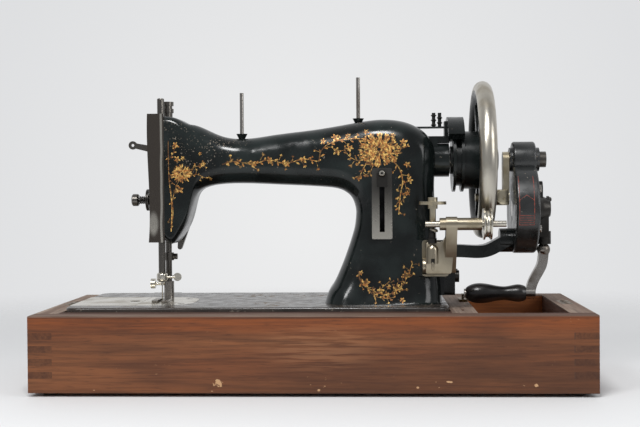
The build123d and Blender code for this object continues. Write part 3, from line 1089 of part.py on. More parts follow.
PULLEY_LEFT = HUB_LEFT + PULLEY_START
GROOVE_LEFT = PULLEY_LEFT + PULLEY_FLANGE
GROOVE_RIGHT = GROOVE_LEFT + PULLEY_GROOVE
RIM_CENTRE_RADIUS = WHEEL_RADIUS - WHEEL_RIM_RADIUS
with BuildPart() as handwheel:
    with Locations(across(WHEEL_X, ARM_Y, SHAFT_Z)):
        Torus(RIM_CENTRE_RADIUS, WHEEL_RIM_RADIUS)
    with BuildSketch(across(WHEEL_X, ARM_Y, SHAFT_Z)):
        with PolarLocations(0, SPOKE_COUNT):
            Polygon((0, -SPOKE_ROOT_WIDTH / 2), (RIM_CENTRE_RADIUS, -SPOKE_TIP_WIDTH / 2),
                    (RIM_CENTRE_RADIUS, SPOKE_TIP_WIDTH / 2), (0, SPOKE_ROOT_WIDTH / 2), align=None)
    extrude(amount=SPOKE_THICK / 2, both=True)
    rod((HUB_LEFT, ARM_Y, SHAFT_Z), (HUB_END, ARM_Y, SHAFT_Z), HUB_RADIUS)
    rod((GROOVE_LEFT, ARM_Y, SHAFT_Z), (GROOVE_RIGHT, ARM_Y, SHAFT_Z), PULLEY_GROOVE_RADIUS)
    rod((GROOVE_RIGHT, ARM_Y, SHAFT_Z), (WHEEL_X, ARM_Y, SHAFT_Z), DRUM_RADIUS)
    for left in (PULLEY_LEFT, GROOVE_RIGHT):
        rod((left, ARM_Y, SHAFT_Z), (left + PULLEY_FLANGE, ARM_Y, SHAFT_Z), PULLEY_RADIUS)
    rod((HUB_LEFT - CUT_OVERRUN, ARM_Y, SHAFT_Z), (HUB_END + CUT_OVERRUN, ARM_Y, SHAFT_Z),
        SHAFT_RADIUS, Mode.SUBTRACT)
save(handwheel, "handwheel")

with BuildPart() as clutch_knob:
    rod((HUB_END, ARM_Y, SHAFT_Z), (CLUTCH_END, ARM_Y, SHAFT_Z), CLUTCH_RADIUS)
    chamfer(clutch_knob.faces().sort_by(Axis.X)[-1].edges(), CLUTCH_ROUND)
save(clutch_knob, "clutch_knob")

GUARD_INNER = PULLEY_RADIUS + GUARD_GAP
with BuildPart() as pulley_guard:
    with BuildSketch(across(GUARD_LEFT)):
        with BuildLine():
            CenterArc((ARM_Y, SHAFT_Z), GUARD_INNER + GUARD_THICK / 2, 90 - GUARD_SPREAD / 2, GUARD_SPREAD)
        trace(line_width=GUARD_THICK)
    extrude(amount=GUARD_LENGTH)
    block((GUARD_PAD_X, ARM_Y - GUARD_EAR_WIDTH / 2, GUARD_EAR_LOW),
          (GUARD_LEFT + GUARD_GAP, ARM_Y + GUARD_EAR_WIDTH / 2, GUARD_EAR_LOW + GUARD_EAR_HEIGHT))
    block((GUIDE_LEFT + GUIDE_LENGTH + SLIP_GAP, ARM_Y - GUARD_EAR_WIDTH / 2, GUARD_EAR_LOW),
          (GUARD_LEFT + GUARD_GAP, ARM_Y + GUARD_EAR_WIDTH / 2, SHAFT_Z + GUARD_INNER + GUARD_THICK / 2))
save(pulley_guard, "pulley_guard")


# Gear pair of the crank: stub involute teeth, flanks drawn as arcs through root, pitch and tip
def draw_gear(teeth, phase):
    """Closed outline of a spur gear round the plane's origin, in the open line block."""
    pitch = MODULE * teeth / 2
    base = pitch * math.cos(math.radians(PRESSURE_ANGLE))
    tip = pitch + ADDENDUM_SHARE * MODULE
    root = pitch - DEDENDUM_SHARE * MODULE

    def involute(radius):
        angle = math.acos(min(1.0, base / radius))
        return math.tan(angle) - angle

    def half_angle(radius):
        width = math.pi / 2 / teeth - BACKLASH / 2 / pitch
        return width + involute(pitch) - involute(max(radius, base))

    def point(radius, angle):
        return radius * math.cos(angle), radius * math.sin(angle)

    step = 2 * math.pi / teeth
    for i in range(teeth):
        middle = math.radians(phase) + i * step
        rise = [point(r, middle - half_angle(r)) for r in (root, pitch, tip)]
        fall = [point(r, middle + half_angle(r)) for r in (tip, pitch, root)]
        ThreePointArc(*rise)
        Line(rise[-1], fall[0])
        ThreePointArc(*fall)
        Line(fall[-1], point(root, middle + step - half_angle(root)))


TOOTH_LEFT = HOUSING_LEFT + HOUSING_WALL + END_GAP
TOOTH_LENGTH = HOUSING_LENGTH - HOUSING_WALL - 2 * END_GAP
BOSS_LEFT_X = HOUSING_LEFT - PINION_BOSS_LEFT
DRIVER_RIGHT = BOSS_LEFT_X - DRIVER_GAP
DRIVER_LEFT = DRIVER_RIGHT - DRIVER_THICK
COVER_BOSS_X = COVER_RIGHT + PINION_BOSS_RIGHT
with BuildPart() as drive_pinion:
    with BuildSketch(across(TOOTH_LEFT, ARM_Y, SHAFT_Z)):
        with BuildLine():
            draw_gear(PINION_TEETH, -90 + 180 / PINION_TEETH)
        make_face()
    extrude(amount=TOOTH_LENGTH)
    rod((DRIVER_LEFT, ARM_Y, SHAFT_Z), (COVER_BOSS_X + END_GAP, ARM_Y, SHAFT_Z), PINION_SHAFT_RADIUS)
    rod((COVER_BOSS_X + END_GAP, ARM_Y, SHAFT_Z),
        (COVER_BOSS_X + END_GAP + PINION_NUT_LENGTH, ARM_Y, SHAFT_Z),
        PINION_NUT_RADIUS)
save(drive_pinion, "drive_pinion")

DRIVER_PIN_Z = SHAFT_Z - DRIVER_THROW
LUG_LEFT = DRIVER_RIGHT - DRIVER_LUG_LENGTH
with BuildPart() as driver_arm:
    with BuildSketch(across(DRIVER_LEFT)):
        with Locations((ARM_Y, SHAFT_Z)):
            Circle(DRIVER_HUB_RADIUS)
        with Locations((ARM_Y, DRIVER_PIN_Z)):
            Circle(DRIVER_LUG_RADIUS * DRIVER_TAPER_SHARE)
        make_hull()
        with Locations((ARM_Y, SHAFT_Z)):
            Circle(PINION_SHAFT_RADIUS, mode=Mode.SUBTRACT)
    extrude(amount=DRIVER_THICK)
    rod((LUG_LEFT, ARM_Y, DRIVER_PIN_Z), (DRIVER_RIGHT, ARM_Y, DRIVER_PIN_Z), DRIVER_LUG_RADIUS)
    rod((LUG_LEFT - DRIVER_PIN_REACH, ARM_Y, DRIVER_PIN_Z), (LUG_LEFT, ARM_Y, DRIVER_PIN_Z),
        DRIVER_PIN_RADIUS)
save(driver_arm, "driver_arm")

GEAR_SHAFT_END = COVER_RIGHT + CRANK_HUB_LENGTH * CRANK_SEAT_SHARE
with BuildPart() as crank_gear:
    with BuildSketch(across(TOOTH_LEFT, ARM_Y, CRANK_Z)):
        with BuildLine():
            draw_gear(GEAR_TEETH, 90)
        make_face()
    extrude(amount=TOOTH_LENGTH)
    rod((HOUSING_LEFT, ARM_Y, CRANK_Z), (GEAR_SHAFT_END, ARM_Y, CRANK_Z), GEAR_SHAFT_RADIUS)
save(crank_gear, "crank_gear")


def draw_keyhole(wide, narrow):
    """Two overlapping rounds about the crank and the shaft, in the open sketch."""
    with Locations((ARM_Y, CRANK_Z)):
        Circle(wide)
    with Locations((ARM_Y, SHAFT_Z)):
        Circle(narrow)


GEAR_TIP = MODULE * GEAR_TEETH / 2 + ADDENDUM_SHARE * MODULE
PINION_TIP = MODULE * PINION_TEETH / 2 + ADDENDUM_SHARE * MODULE
with BuildPart() as gear_housing:
    with BuildSketch(across(HOUSING_LEFT)):
        draw_keyhole(HOUSING_RADIUS, HOUSING_NECK_RADIUS)
    extrude(amount=HOUSING_LENGTH)
    fillet(gear_housing.faces().sort_by(Axis.X)[0].edges(), HOUSING_ROUND)
    rod((BOSS_LEFT_X, ARM_Y, SHAFT_Z), (HOUSING_LEFT + HOUSING_WALL, ARM_Y, SHAFT_Z), PINION_BOSS_RADIUS)
    with BuildSketch(across(HOUSING_LEFT + HOUSING_WALL)):
        draw_keyhole(GEAR_TIP + TIP_GAP, PINION_TIP + TIP_GAP)
    extrude(amount=HOUSING_LENGTH, mode=Mode.SUBTRACT)
    rod((BOSS_LEFT_X - CUT_OVERRUN, ARM_Y, SHAFT_Z), (HOUSING_RIGHT, ARM_Y, SHAFT_Z),
        PINION_SHAFT_RADIUS + RUNNING_GAP, Mode.SUBTRACT)
    rod((HOUSING_LEFT - CUT_OVERRUN, ARM_Y, CRANK_Z), (HOUSING_RIGHT, ARM_Y, CRANK_Z),
        GEAR_SHAFT_RADIUS + RUNNING_GAP, Mode.SUBTRACT)
save(gear_housing, "gear_housing")

with BuildPart() as gear_cover:
    with BuildSketch(across(HOUSING_RIGHT)):
        draw_keyhole(HOUSING_RADIUS, HOUSING_NECK_RADIUS)
    extrude(amount=COVER_THICK)
    fillet(gear_cover.faces().sort_by(Axis.X)[-1].edges(), HOUSING_ROUND)
    rod((HOUSING_RIGHT, ARM_Y, SHAFT_Z), (COVER_BOSS_X, ARM_Y, SHAFT_Z), PINION_BOSS_RADIUS)
    rod((HOUSING_RIGHT - CUT_OVERRUN, ARM_Y, SHAFT_Z), (COVER_BOSS_X + CUT_OVERRUN, ARM_Y, SHAFT_Z),
        PINION_SHAFT_RADIUS + RUNNING_GAP, Mode.SUBTRACT)
    rod((HOUSING_RIGHT - CUT_OVERRUN, ARM_Y, CRANK_Z), (COVER_RIGHT + CUT_OVERRUN, ARM_Y, CRANK_Z),
        GEAR_SHAFT_RADIUS + RUNNING_GAP, Mode.SUBTRACT)
save(gear_cover, "gear_cover")

BRACKET_BOSS_Z = CRANK_Z - BRACKET_BOSS_DROP
BRACKET_BOSS_X = HOUSING_LEFT - BRACKET_BOSS_LENGTH
BRACKET_ARM_Z = BRACKET_TOP - BRACKET_ARM_HEIGHT / 2
BRACKET_START = BRACKET_X + BRACKET_FLANGE / 2
BRACKET_RUN = BRACKET_BOSS_X + BRACKET_BOSS_LENGTH / 2 - BRACKET_START
BRACKET_CLIMB = BRACKET_BOSS_Z - BRACKET_ARM_Z
BRACKET_BENDS = [(BRACKET_START + x * BRACKET_RUN, BRACKET_ARM_Z + z * BRACKET_CLIMB)
                 for x, z in BRACKET_BEND_SHARES]
with BuildPart() as crank_bracket:
    block((BRACKET_X, ARM_Y - BRACKET_PAD_WIDTH / 2, BRACKET_FLOOR),
          (BRACKET_X + BRACKET_FLANGE, ARM_Y + BRACKET_PAD_WIDTH / 2, BRACKET_TOP))
    fillet(crank_bracket.edges().filter_by(Axis.X), BRACKET_ROUND)
    with BuildSketch(FRONT_VIEW):
        with BuildLine():
            Spline(*BRACKET_BENDS)
        trace(line_width=BRACKET_ARM_HEIGHT)
    extrude(amount=BRACKET_ARM_WIDTH / 2, both=True)
    rod((BRACKET_BOSS_X, ARM_Y, BRACKET_BOSS_Z), (HOUSING_LEFT, ARM_Y, BRACKET_BOSS_Z), BRACKET_BOSS_RADIUS)
    for y, z in BOLT_PLACES:
        rod((BRACKET_X - CUT_OVERRUN, y, z), (BRACKET_X + BRACKET_FLANGE + CUT_OVERRUN, y, z), BOLT_RADIUS,
            Mode.SUBTRACT)
save(crank_bracket, "crank_bracket")

with BuildPart() as bracket_bolts:
    for y, z in BOLT_PLACES:
        head = BRACKET_X + BRACKET_FLANGE
        rod((head - BOLT_LENGTH, y, z), (head, y, z), BOLT_RADIUS)
        rod((head, y, z), (head + BOLT_HEAD_LENGTH, y, z), BOLT_HEAD_RADIUS)
save(bracket_bolts, "bracket_bolts")

# Crank: hub on the gear's shaft, swivelling arm and turned handle
CRANK_HUB_LEFT = COVER_RIGHT + SLIP_GAP
CRANK_HUB_RIGHT = CRANK_HUB_LEFT + CRANK_HUB_LENGTH
CRANK_LUG_X = CRANK_HUB_LEFT + CRANK_LUG_START + CRANK_LUG_THICK / 2
CRANK_TAIL_X = CRANK_HUB_LEFT + CRANK_TAIL_START
KNUCKLE_LOW = CRANK_Z - KNUCKLE_BOTTOM
with BuildPart() as crank_hub:
    with BuildSketch(Plane(origin=(0, ARM_Y, CRANK_Z), x_dir=(1, 0, 0), z_dir=(0, -1, 0))):
        with BuildLine():
            Polyline((CRANK_HUB_LEFT, 0), (CRANK_HUB_LEFT, CRANK_HUB_RADIUS),
                     (CRANK_HUB_LEFT + CRANK_HUB_FLANGE, CRANK_HUB_RADIUS),
                     (CRANK_HUB_LEFT + CRANK_HUB_SHOULDER, CRANK_HUB_SHOULDER_RADIUS),
                     (CRANK_HUB_RIGHT, CRANK_HUB_NOSE_RADIUS), (CRANK_HUB_RIGHT, 0), close=True)
        make_face()
    revolve(axis=Axis((0, ARM_Y, CRANK_Z), (1, 0, 0)))
    block((CRANK_LUG_X - CRANK_LUG_THICK / 2, ARM_Y - CRANK_LUG_WIDTH / 2, KNUCKLE_LOW + KNUCKLE_RADIUS),
          (CRANK_LUG_X + CRANK_LUG_THICK / 2, ARM_Y + CRANK_LUG_WIDTH / 2, CRANK_Z))
    block((CRANK_TAIL_X, ARM_Y - CRANK_LUG_WIDTH / 2, CRANK_Z),
          (CRANK_TAIL_X + CRANK_TAIL_THICK, ARM_Y + CRANK_LUG_WIDTH / 2, CRANK_Z + CRANK_TAIL_RISE))
    rod((CRANK_TAIL_X, ARM_Y, CRANK_Z + CRANK_TAIL_RISE),
        (CRANK_TAIL_X + CRANK_TAIL_THICK, ARM_Y, CRANK_Z + CRANK_TAIL_RISE), CRANK_LUG_WIDTH / 2)
    rod((CRANK_LUG_X, ARM_Y, KNUCKLE_LOW), (CRANK_LUG_X, ARM_Y, CRANK_Z - KNUCKLE_TOP), KNUCKLE_RADIUS)
    rod((CRANK_LUG_X, ARM_Y, KNUCKLE_LOW - CUT_OVERRUN), (CRANK_LUG_X, ARM_Y, KNUCKLE_LOW + SWIVEL_DEPTH),
        SWIVEL_RADIUS + RUNNING_GAP, Mode.SUBTRACT)
    rod((CRANK_HUB_LEFT - CUT_OVERRUN, ARM_Y, CRANK_Z), (GEAR_SHAFT_END, ARM_Y, CRANK_Z),
        GEAR_SHAFT_RADIUS, Mode.SUBTRACT)
save(crank_hub, "crank_hub")

HANDLE_Z = RIM_Z + HANDLE_GAP + HANDLE_RADIUS
BALL_Z = KNUCKLE_LOW - SLIP_GAP - SWIVEL_BALL_RADIUS * SWIVEL_SINK_SHARE
CRANK_ARM_SWEEP = (BALL_Z - HANDLE_Z) * CRANK_ARM_SWEEP_SHARE
BEND_POINTS = [(CRANK_LUG_X + x * CRANK_ARM_SWEEP, BALL_Z + z * (HANDLE_Z - BALL_Z)) for x,
               z in CRANK_ARM_BEND_SHARES]
ARM_END_X = BEND_POINTS[-1][0]
HANDLE_RIGHT = ARM_END_X - CRANK_ARM_WIDTH / 2 - SLIP_GAP
HANDLE_LEFT = HANDLE_RIGHT - HANDLE_LENGTH
with BuildPart() as crank_arm:
    with BuildSketch(FRONT_VIEW):
        with BuildLine():
            Spline(*BEND_POINTS)
        trace(line_width=CRANK_ARM_WIDTH)
    extrude(amount=CRANK_ARM_THICK / 2, both=True)
    rod((ARM_END_X - CRANK_ARM_WIDTH / 2, ARM_Y, HANDLE_Z),
        (ARM_END_X + CRANK_ARM_WIDTH / 2, ARM_Y, HANDLE_Z),
        CRANK_EYE_RADIUS)
    with Locations((CRANK_LUG_X, ARM_Y, BALL_Z)):
        Sphere(SWIVEL_BALL_RADIUS)
    block((CRANK_LUG_X - KNUCKLE_RADIUS, ARM_Y - KNUCKLE_RADIUS, KNUCKLE_LOW - SLIP_GAP),
          (CRANK_LUG_X + KNUCKLE_RADIUS, ARM_Y + KNUCKLE_RADIUS, CRANK_Z), Mode.SUBTRACT)
    rod((CRANK_LUG_X, ARM_Y, BALL_Z), (CRANK_LUG_X, ARM_Y, KNUCKLE_LOW + SWIVEL_DEPTH - END_GAP),
        SWIVEL_RADIUS)
    rod((HANDLE_LEFT - SLIP_GAP, ARM_Y, HANDLE_Z), (ARM_END_X, ARM_Y, HANDLE_Z), HANDLE_PIN_RADIUS)
    rod((HANDLE_LEFT - SLIP_GAP - HANDLE_PIN_HEAD_LENGTH, ARM_Y, HANDLE_Z),
        (HANDLE_LEFT - SLIP_GAP, ARM_Y, HANDLE_Z),
        HANDLE_PIN_HEAD_RADIUS)
save(crank_arm, "crank_arm")

with BuildPart() as crank_handle:
    with BuildSketch(Plane(origin=(HANDLE_LEFT, ARM_Y, HANDLE_Z), x_dir=(1, 0, 0), z_dir=(0, -1, 0))):
        with BuildLine():
            profile = [(x * HANDLE_LENGTH, r * HANDLE_RADIUS) for x, r in HANDLE_PROFILE_SHARES]
            Spline(*profile)
            bore = HANDLE_PIN_RADIUS + RUNNING_GAP
            Polyline(profile[-1], (HANDLE_LENGTH, bore), (0, bore), profile[0])
        make_face()
    revolve(axis=Axis((0, ARM_Y, HANDLE_Z), (1, 0, 0)))
save(crank_handle, "crank_handle")

# Spool pins, stitch scale with its lever, and the winder's thread guide
with BuildPart() as spool_pins:
    for x, z in SPOOL_PLACES:
        rod((x, ARM_Y, z - SPOOL_SHANK), (x, ARM_Y, z + SPOOL_PIN_HEIGHT), SPOOL_PIN_RADIUS)
        with Locations((x, ARM_Y, z)):
            Cone(SPOOL_CUP_FOOT_RADIUS, SPOOL_CUP_RADIUS, SPOOL_CUP_HEIGHT,
                 align=(Align.CENTER, Align.CENTER, Align.MIN))
save(spool_pins, "spool_pins")

with BuildPart() as stitch_plate:
    block((SCALE_X - SCALE_WIDTH / 2, SCALE_BACK - SCALE_THICK, SCALE_Z),
          (SCALE_X + SCALE_WIDTH / 2, SCALE_BACK, SCALE_Z + SCALE_HEIGHT))
    fillet(stitch_plate.edges().filter_by(Axis.Y), SCALE_ROUND)
    block((SCALE_X - SCALE_SLOT_WIDTH / 2, SCALE_BACK - 2 * SCALE_THICK, SCALE_Z + SCALE_SLOT_LOW),
          (SCALE_X + SCALE_SLOT_WIDTH / 2, SCALE_BACK + CUT_OVERRUN,
           SCALE_Z + SCALE_SLOT_LOW + SCALE_SLOT_HEIGHT),
          Mode.SUBTRACT)
save(stitch_plate, "stitch_plate")

LEVER_Z = SCALE_Z + SCALE_SLOT_LOW + SCALE_SLOT_HEIGHT - LEVER_SHANK_RADIUS - SLIP_GAP
KNOB_BACK = SCALE_BACK - SCALE_THICK - SLIP_GAP
with BuildPart() as stitch_lever:
    rod((SCALE_X, KNOB_BACK - LEVER_KNOB_LENGTH, LEVER_Z + LEVER_KNOB_RISE),
        (SCALE_X, KNOB_BACK, LEVER_Z + LEVER_KNOB_RISE), LEVER_KNOB_RADIUS)
    chamfer(stitch_lever.edges().filter_by(GeomType.CIRCLE), LEVER_KNOB_ROUND)
    block((SCALE_X - LEVER_BLOCK_WIDTH / 2, KNOB_BACK - LEVER_BLOCK_THICK, LEVER_Z - LEVER_BLOCK_DROP),
          (SCALE_X + LEVER_BLOCK_WIDTH / 2, KNOB_BACK, LEVER_Z + LEVER_KNOB_RISE))
    rod((SCALE_X, KNOB_BACK, LEVER_Z), (SCALE_X, KNOB_BACK + LEVER_INSIDE, LEVER_Z), LEVER_SHANK_RADIUS)
save(stitch_lever, "stitch_lever")

with BuildPart() as winder_guide:
    block((GUIDE_LEFT, ARM_Y - GUIDE_WIDTH / 2, GUIDE_Z),
          (GUIDE_LEFT + GUIDE_LENGTH, ARM_Y + GUIDE_WIDTH / 2, GUIDE_Z + GUIDE_THICK))
    fillet(winder_guide.edges().filter_by(Axis.Z), GUIDE_THICK)
    for i in range(2):
        x = GUIDE_LEFT + GUIDE_LENGTH - GUIDE_POST_INSET - i * GUIDE_POST_SPREAD
        rod((x, ARM_Y, GUIDE_Z), (x, ARM_Y, GUIDE_Z + GUIDE_THICK + GUIDE_POST_HEIGHT), GUIDE_POST_RADIUS)
save(winder_guide, "winder_guide")

# Bobbin winder: a plate on the pillar, a swinging frame, its spindle with pulley, and the cam disc
WINDER_PLATE_LEFT = ARM_RIGHT - WINDER_PLATE_SETBACK
WINDER_LUG_RIGHT = WINDER_PLATE_LEFT + WINDER_LUG_LENGTH
with BuildPart() as winder_plate:
    block((WINDER_PLATE_LEFT, WINDER_SEAT_Y - WINDER_PLATE_THICK, BED_Z + WINDER_PLATE_LOW),
          (WINDER_PLATE_LEFT + WINDER_PLATE_LENGTH, WINDER_SEAT_Y,
           BED_Z + WINDER_PLATE_LOW + WINDER_PLATE_HEIGHT))
    fillet(winder_plate.edges().filter_by(Axis.Y), WINDER_PLATE_THICK)
    block((WINDER_PLATE_LEFT, WINDER_PIVOT_Y, WINDER_PIVOT_Z - WINDER_LUG_RADIUS),
          (WINDER_LUG_RIGHT, WINDER_SEAT_Y, WINDER_PIVOT_Z + WINDER_LUG_RADIUS))
    rod((WINDER_PLATE_LEFT, WINDER_PIVOT_Y, WINDER_PIVOT_Z),
        (WINDER_LUG_RIGHT, WINDER_PIVOT_Y, WINDER_PIVOT_Z),
        WINDER_LUG_RADIUS)
    rod((WINDER_PLATE_LEFT - CUT_OVERRUN, WINDER_PIVOT_Y, WINDER_PIVOT_Z),
        (WINDER_LUG_RIGHT + CUT_OVERRUN, WINDER_PIVOT_Y, WINDER_PIVOT_Z),
        WINDER_PIVOT_RADIUS + RUNNING_GAP, Mode.SUBTRACT)
save(winder_plate, "winder_plate")

WINDER_ARM_X = WINDER_LUG_RIGHT + END_GAP
BARREL_LEFT = WINDER_ARM_X - WINDER_BARREL_LEFT
BARREL_RIGHT = BARREL_LEFT + WINDER_BARREL_LENGTH
CAM_X = BARREL_LEFT - CAM_SEAT_RADIUS
CAM_Y = WINDER_Y + CAM_Y_OFFSET
CAM_SEAT_Z = WINDER_Z - CAM_SEAT_THICK / 2
CAM_DISC_Z = CAM_SEAT_Z + CAM_SHAFT_LENGTH - CAM_THICK / 2
with BuildPart() as winder_frame:
    with BuildSketch(across(WINDER_ARM_X)):
        with Locations((WINDER_PIVOT_Y, WINDER_PIVOT_Z), (WINDER_Y, WINDER_Z)):
            Circle(WINDER_ARM_RADIUS)
        make_hull()
    extrude(amount=WINDER_ARM_THICK)
    rod((BARREL_LEFT, WINDER_Y, WINDER_Z), (BARREL_RIGHT, WINDER_Y, WINDER_Z), WINDER_BARREL_RADIUS)
    rod((WINDER_PLATE_LEFT, WINDER_PIVOT_Y, WINDER_PIVOT_Z), (WINDER_ARM_X, WINDER_PIVOT_Y, WINDER_PIVOT_Z),
        WINDER_PIVOT_RADIUS)
    block((CAM_X - CAM_SEAT_RADIUS, CAM_Y - CAM_SEAT_RADIUS, CAM_SEAT_Z),
          (WINDER_ARM_X + WINDER_ARM_THICK, CAM_Y + CAM_SEAT_RADIUS, CAM_SEAT_Z + CAM_SEAT_THICK))
    rod((BARREL_LEFT - 2 * CAM_RADIUS, WINDER_Y, WINDER_Z), (BARREL_RIGHT + CUT_OVERRUN, WINDER_Y, WINDER_Z),
        WINDER_SPINDLE_RADIUS + RUNNING_GAP, Mode.SUBTRACT)
    rod((CAM_X, CAM_Y, CAM_SEAT_Z - CUT_OVERRUN), (CAM_X, CAM_Y, CAM_SEAT_Z + CAM_SEAT_THICK + CUT_OVERRUN),
        CAM_SHAFT_RADIUS + RUNNING_GAP, Mode.SUBTRACT)
save(winder_frame, "winder_frame")

SPINDLE_LEFT = ARM_RIGHT - WINDER_SPINDLE_LEFT
PULLEY_X = BARREL_RIGHT + 2 * END_GAP
with BuildPart() as winder_spindle:
    rod((PULLEY_X, WINDER_Y, WINDER_Z), (PULLEY_X + WINDER_PULLEY_LENGTH, WINDER_Y, WINDER_Z),
        WINDER_PULLEY_RADIUS)
    with Locations(across(PULLEY_X + WINDER_PULLEY_LENGTH / 2, WINDER_Y, WINDER_Z)):
        Torus(WINDER_PULLEY_RADIUS, WINDER_PULLEY_GROOVE, mode=Mode.SUBTRACT)
    rod((SPINDLE_LEFT, WINDER_Y, WINDER_Z), (SPINDLE_LEFT + WINDER_SPINDLE_LENGTH, WINDER_Y, WINDER_Z),
        WINDER_SPINDLE_RADIUS)
save(winder_spindle, "winder_spindle")

with BuildPart() as winder_cam:
    rod((CAM_X, CAM_Y, CAM_SEAT_Z), (CAM_X, CAM_Y, CAM_SEAT_Z + CAM_SHAFT_LENGTH), CAM_SHAFT_RADIUS)
    rod((CAM_X, CAM_Y, CAM_SEAT_Z + CAM_SHAFT_LENGTH - CAM_THICK),
        (CAM_X, CAM_Y, CAM_SEAT_Z + CAM_SHAFT_LENGTH), CAM_RADIUS)
    rod((CAM_X, CAM_Y, CAM_DISC_Z - CAM_HUB_LENGTH / 2), (CAM_X, CAM_Y, CAM_DISC_Z + CAM_HUB_LENGTH / 2),
        CAM_HUB_RADIUS)
save(winder_cam, "winder_cam")

# Hook race with its shuttle hook and bobbin case, the hook shaft and the feed
RACE_LEFT = RACE_RIGHT - RACE_LENGTH
with BuildPart() as hook_race:
    rod((RACE_LEFT, ARM_Y, HOOK_Z), (RACE_RIGHT, ARM_Y, HOOK_Z), RACE_RADIUS)
    block((RACE_LEFT, ARM_Y - RACE_FOOT_WIDTH / 2, HOOK_Z),
          (RACE_LEFT + RACE_FOOT_LENGTH, ARM_Y + RACE_FOOT_WIDTH / 2, BED_Z - BED_PLATE))
    rod((RACE_LEFT - CUT_OVERRUN, ARM_Y, HOOK_Z), (RACE_RIGHT + CUT_OVERRUN, ARM_Y, HOOK_Z),
        HOOK_RADIUS + SLIP_GAP, Mode.SUBTRACT)
save(hook_race, "hook_race")

HOOK_LEFT = RACE_RIGHT - HOOK_LENGTH
with BuildPart() as shuttle_hook:
    rod((HOOK_LEFT, ARM_Y, HOOK_Z), (RACE_RIGHT, ARM_Y, HOOK_Z), HOOK_RADIUS)
    rod((HOOK_LEFT - CUT_OVERRUN, ARM_Y, HOOK_Z), (RACE_RIGHT - HOOK_WALL, ARM_Y, HOOK_Z),
        CASE_RADIUS + RUNNING_GAP, Mode.SUBTRACT)
save(shuttle_hook, "shuttle_hook")

HOOK_SHAFT_RIGHT = RACE_RIGHT + BED_LENGTH * HOOK_SHAFT_LENGTH_SHARE
with BuildPart() as hook_shaft:
    rod((RACE_RIGHT, ARM_Y, HOOK_Z), (HOOK_SHAFT_RIGHT, ARM_Y, HOOK_Z), HOOK_SHAFT_RADIUS)
save(hook_shaft, "hook_shaft")

FEED_TOP = PLATE_FLOOR - SLIP_GAP
FEED_LOW = FEED_TOP - FEED_BASE_THICK
FEED_BAR_TOP = BED_Z - BED_PLATE - END_GAP
with BuildPart() as feed_dog:
    block((NEEDLE_X - FEED_BASE_LENGTH / 2, ARM_Y - FEED_BASE_WIDTH / 2, FEED_LOW),
          (NEEDLE_X + FEED_BASE_LENGTH / 2, ARM_Y + FEED_BASE_WIDTH / 2, FEED_TOP))
    for side in (-1, 1):
        x = NEEDLE_X + side * FEED_SLOT_SPREAD
        block((x - FEED_TOOTH_WIDTH / 2, ARM_Y - FEED_TOOTH_LENGTH / 2, FEED_LOW),
              (x + FEED_TOOTH_WIDTH / 2, ARM_Y + FEED_TOOTH_LENGTH / 2, BED_Z))
    block((NEEDLE_X + FEED_SLOT_SPREAD, ARM_Y - FEED_BAR_WIDTH / 2, FEED_BAR_TOP - FEED_BAR_THICK),
          (NEEDLE_X + FEED_BASE_LENGTH / 2, ARM_Y + FEED_BAR_WIDTH / 2, FEED_TOP))
    block((NEEDLE_X + FEED_SLOT_SPREAD, ARM_Y - FEED_BAR_WIDTH / 2, FEED_BAR_TOP - FEED_BAR_THICK),
          (NEEDLE_X + FEED_BAR_LENGTH, ARM_Y + FEED_BAR_WIDTH / 2, FEED_BAR_TOP))
    with Locations((NEEDLE_X, ARM_Y, FEED_LOW)):
        Box(2 * NEEDLE_HOLE_RADIUS, FEED_BASE_WIDTH / 2, 2 * FEED_BASE_LENGTH, mode=Mode.SUBTRACT)
save(feed_dog, "feed_dog")
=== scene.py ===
"""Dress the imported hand-crank sewing machine: finishes, ornament, fasteners, studio and camera."""

from __future__ import annotations

import logging
import math
import random
from dataclasses import dataclass, field
from enum import Enum
from functools import reduce
from typing import Callable, Iterable, Sequence

import bpy
from mathutils import Matrix, Vector


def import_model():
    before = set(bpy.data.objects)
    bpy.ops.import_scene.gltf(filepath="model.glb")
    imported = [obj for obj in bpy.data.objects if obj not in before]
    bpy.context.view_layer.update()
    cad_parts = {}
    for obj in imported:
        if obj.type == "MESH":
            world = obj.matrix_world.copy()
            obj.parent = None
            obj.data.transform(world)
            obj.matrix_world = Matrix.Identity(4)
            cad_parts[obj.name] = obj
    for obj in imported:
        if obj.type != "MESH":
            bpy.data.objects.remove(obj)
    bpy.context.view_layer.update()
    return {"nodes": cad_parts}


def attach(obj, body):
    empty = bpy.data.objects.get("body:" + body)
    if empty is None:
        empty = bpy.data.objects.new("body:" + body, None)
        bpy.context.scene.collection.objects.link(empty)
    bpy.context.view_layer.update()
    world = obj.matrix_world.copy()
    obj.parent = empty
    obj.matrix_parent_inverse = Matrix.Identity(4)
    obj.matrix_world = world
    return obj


LOG = logging.getLogger("machine")
MM = 0.001
Point = tuple[float, float]
Place = tuple[float, float, float]
UP: Place = (0.0, 0.0, 1.0)
RIGHT: Place = (1.0, 0.0, 0.0)
LEFT: Place = (-1.0, 0.0, 0.0)
FRONT: Place = (0.0, -1.0, 0.0)


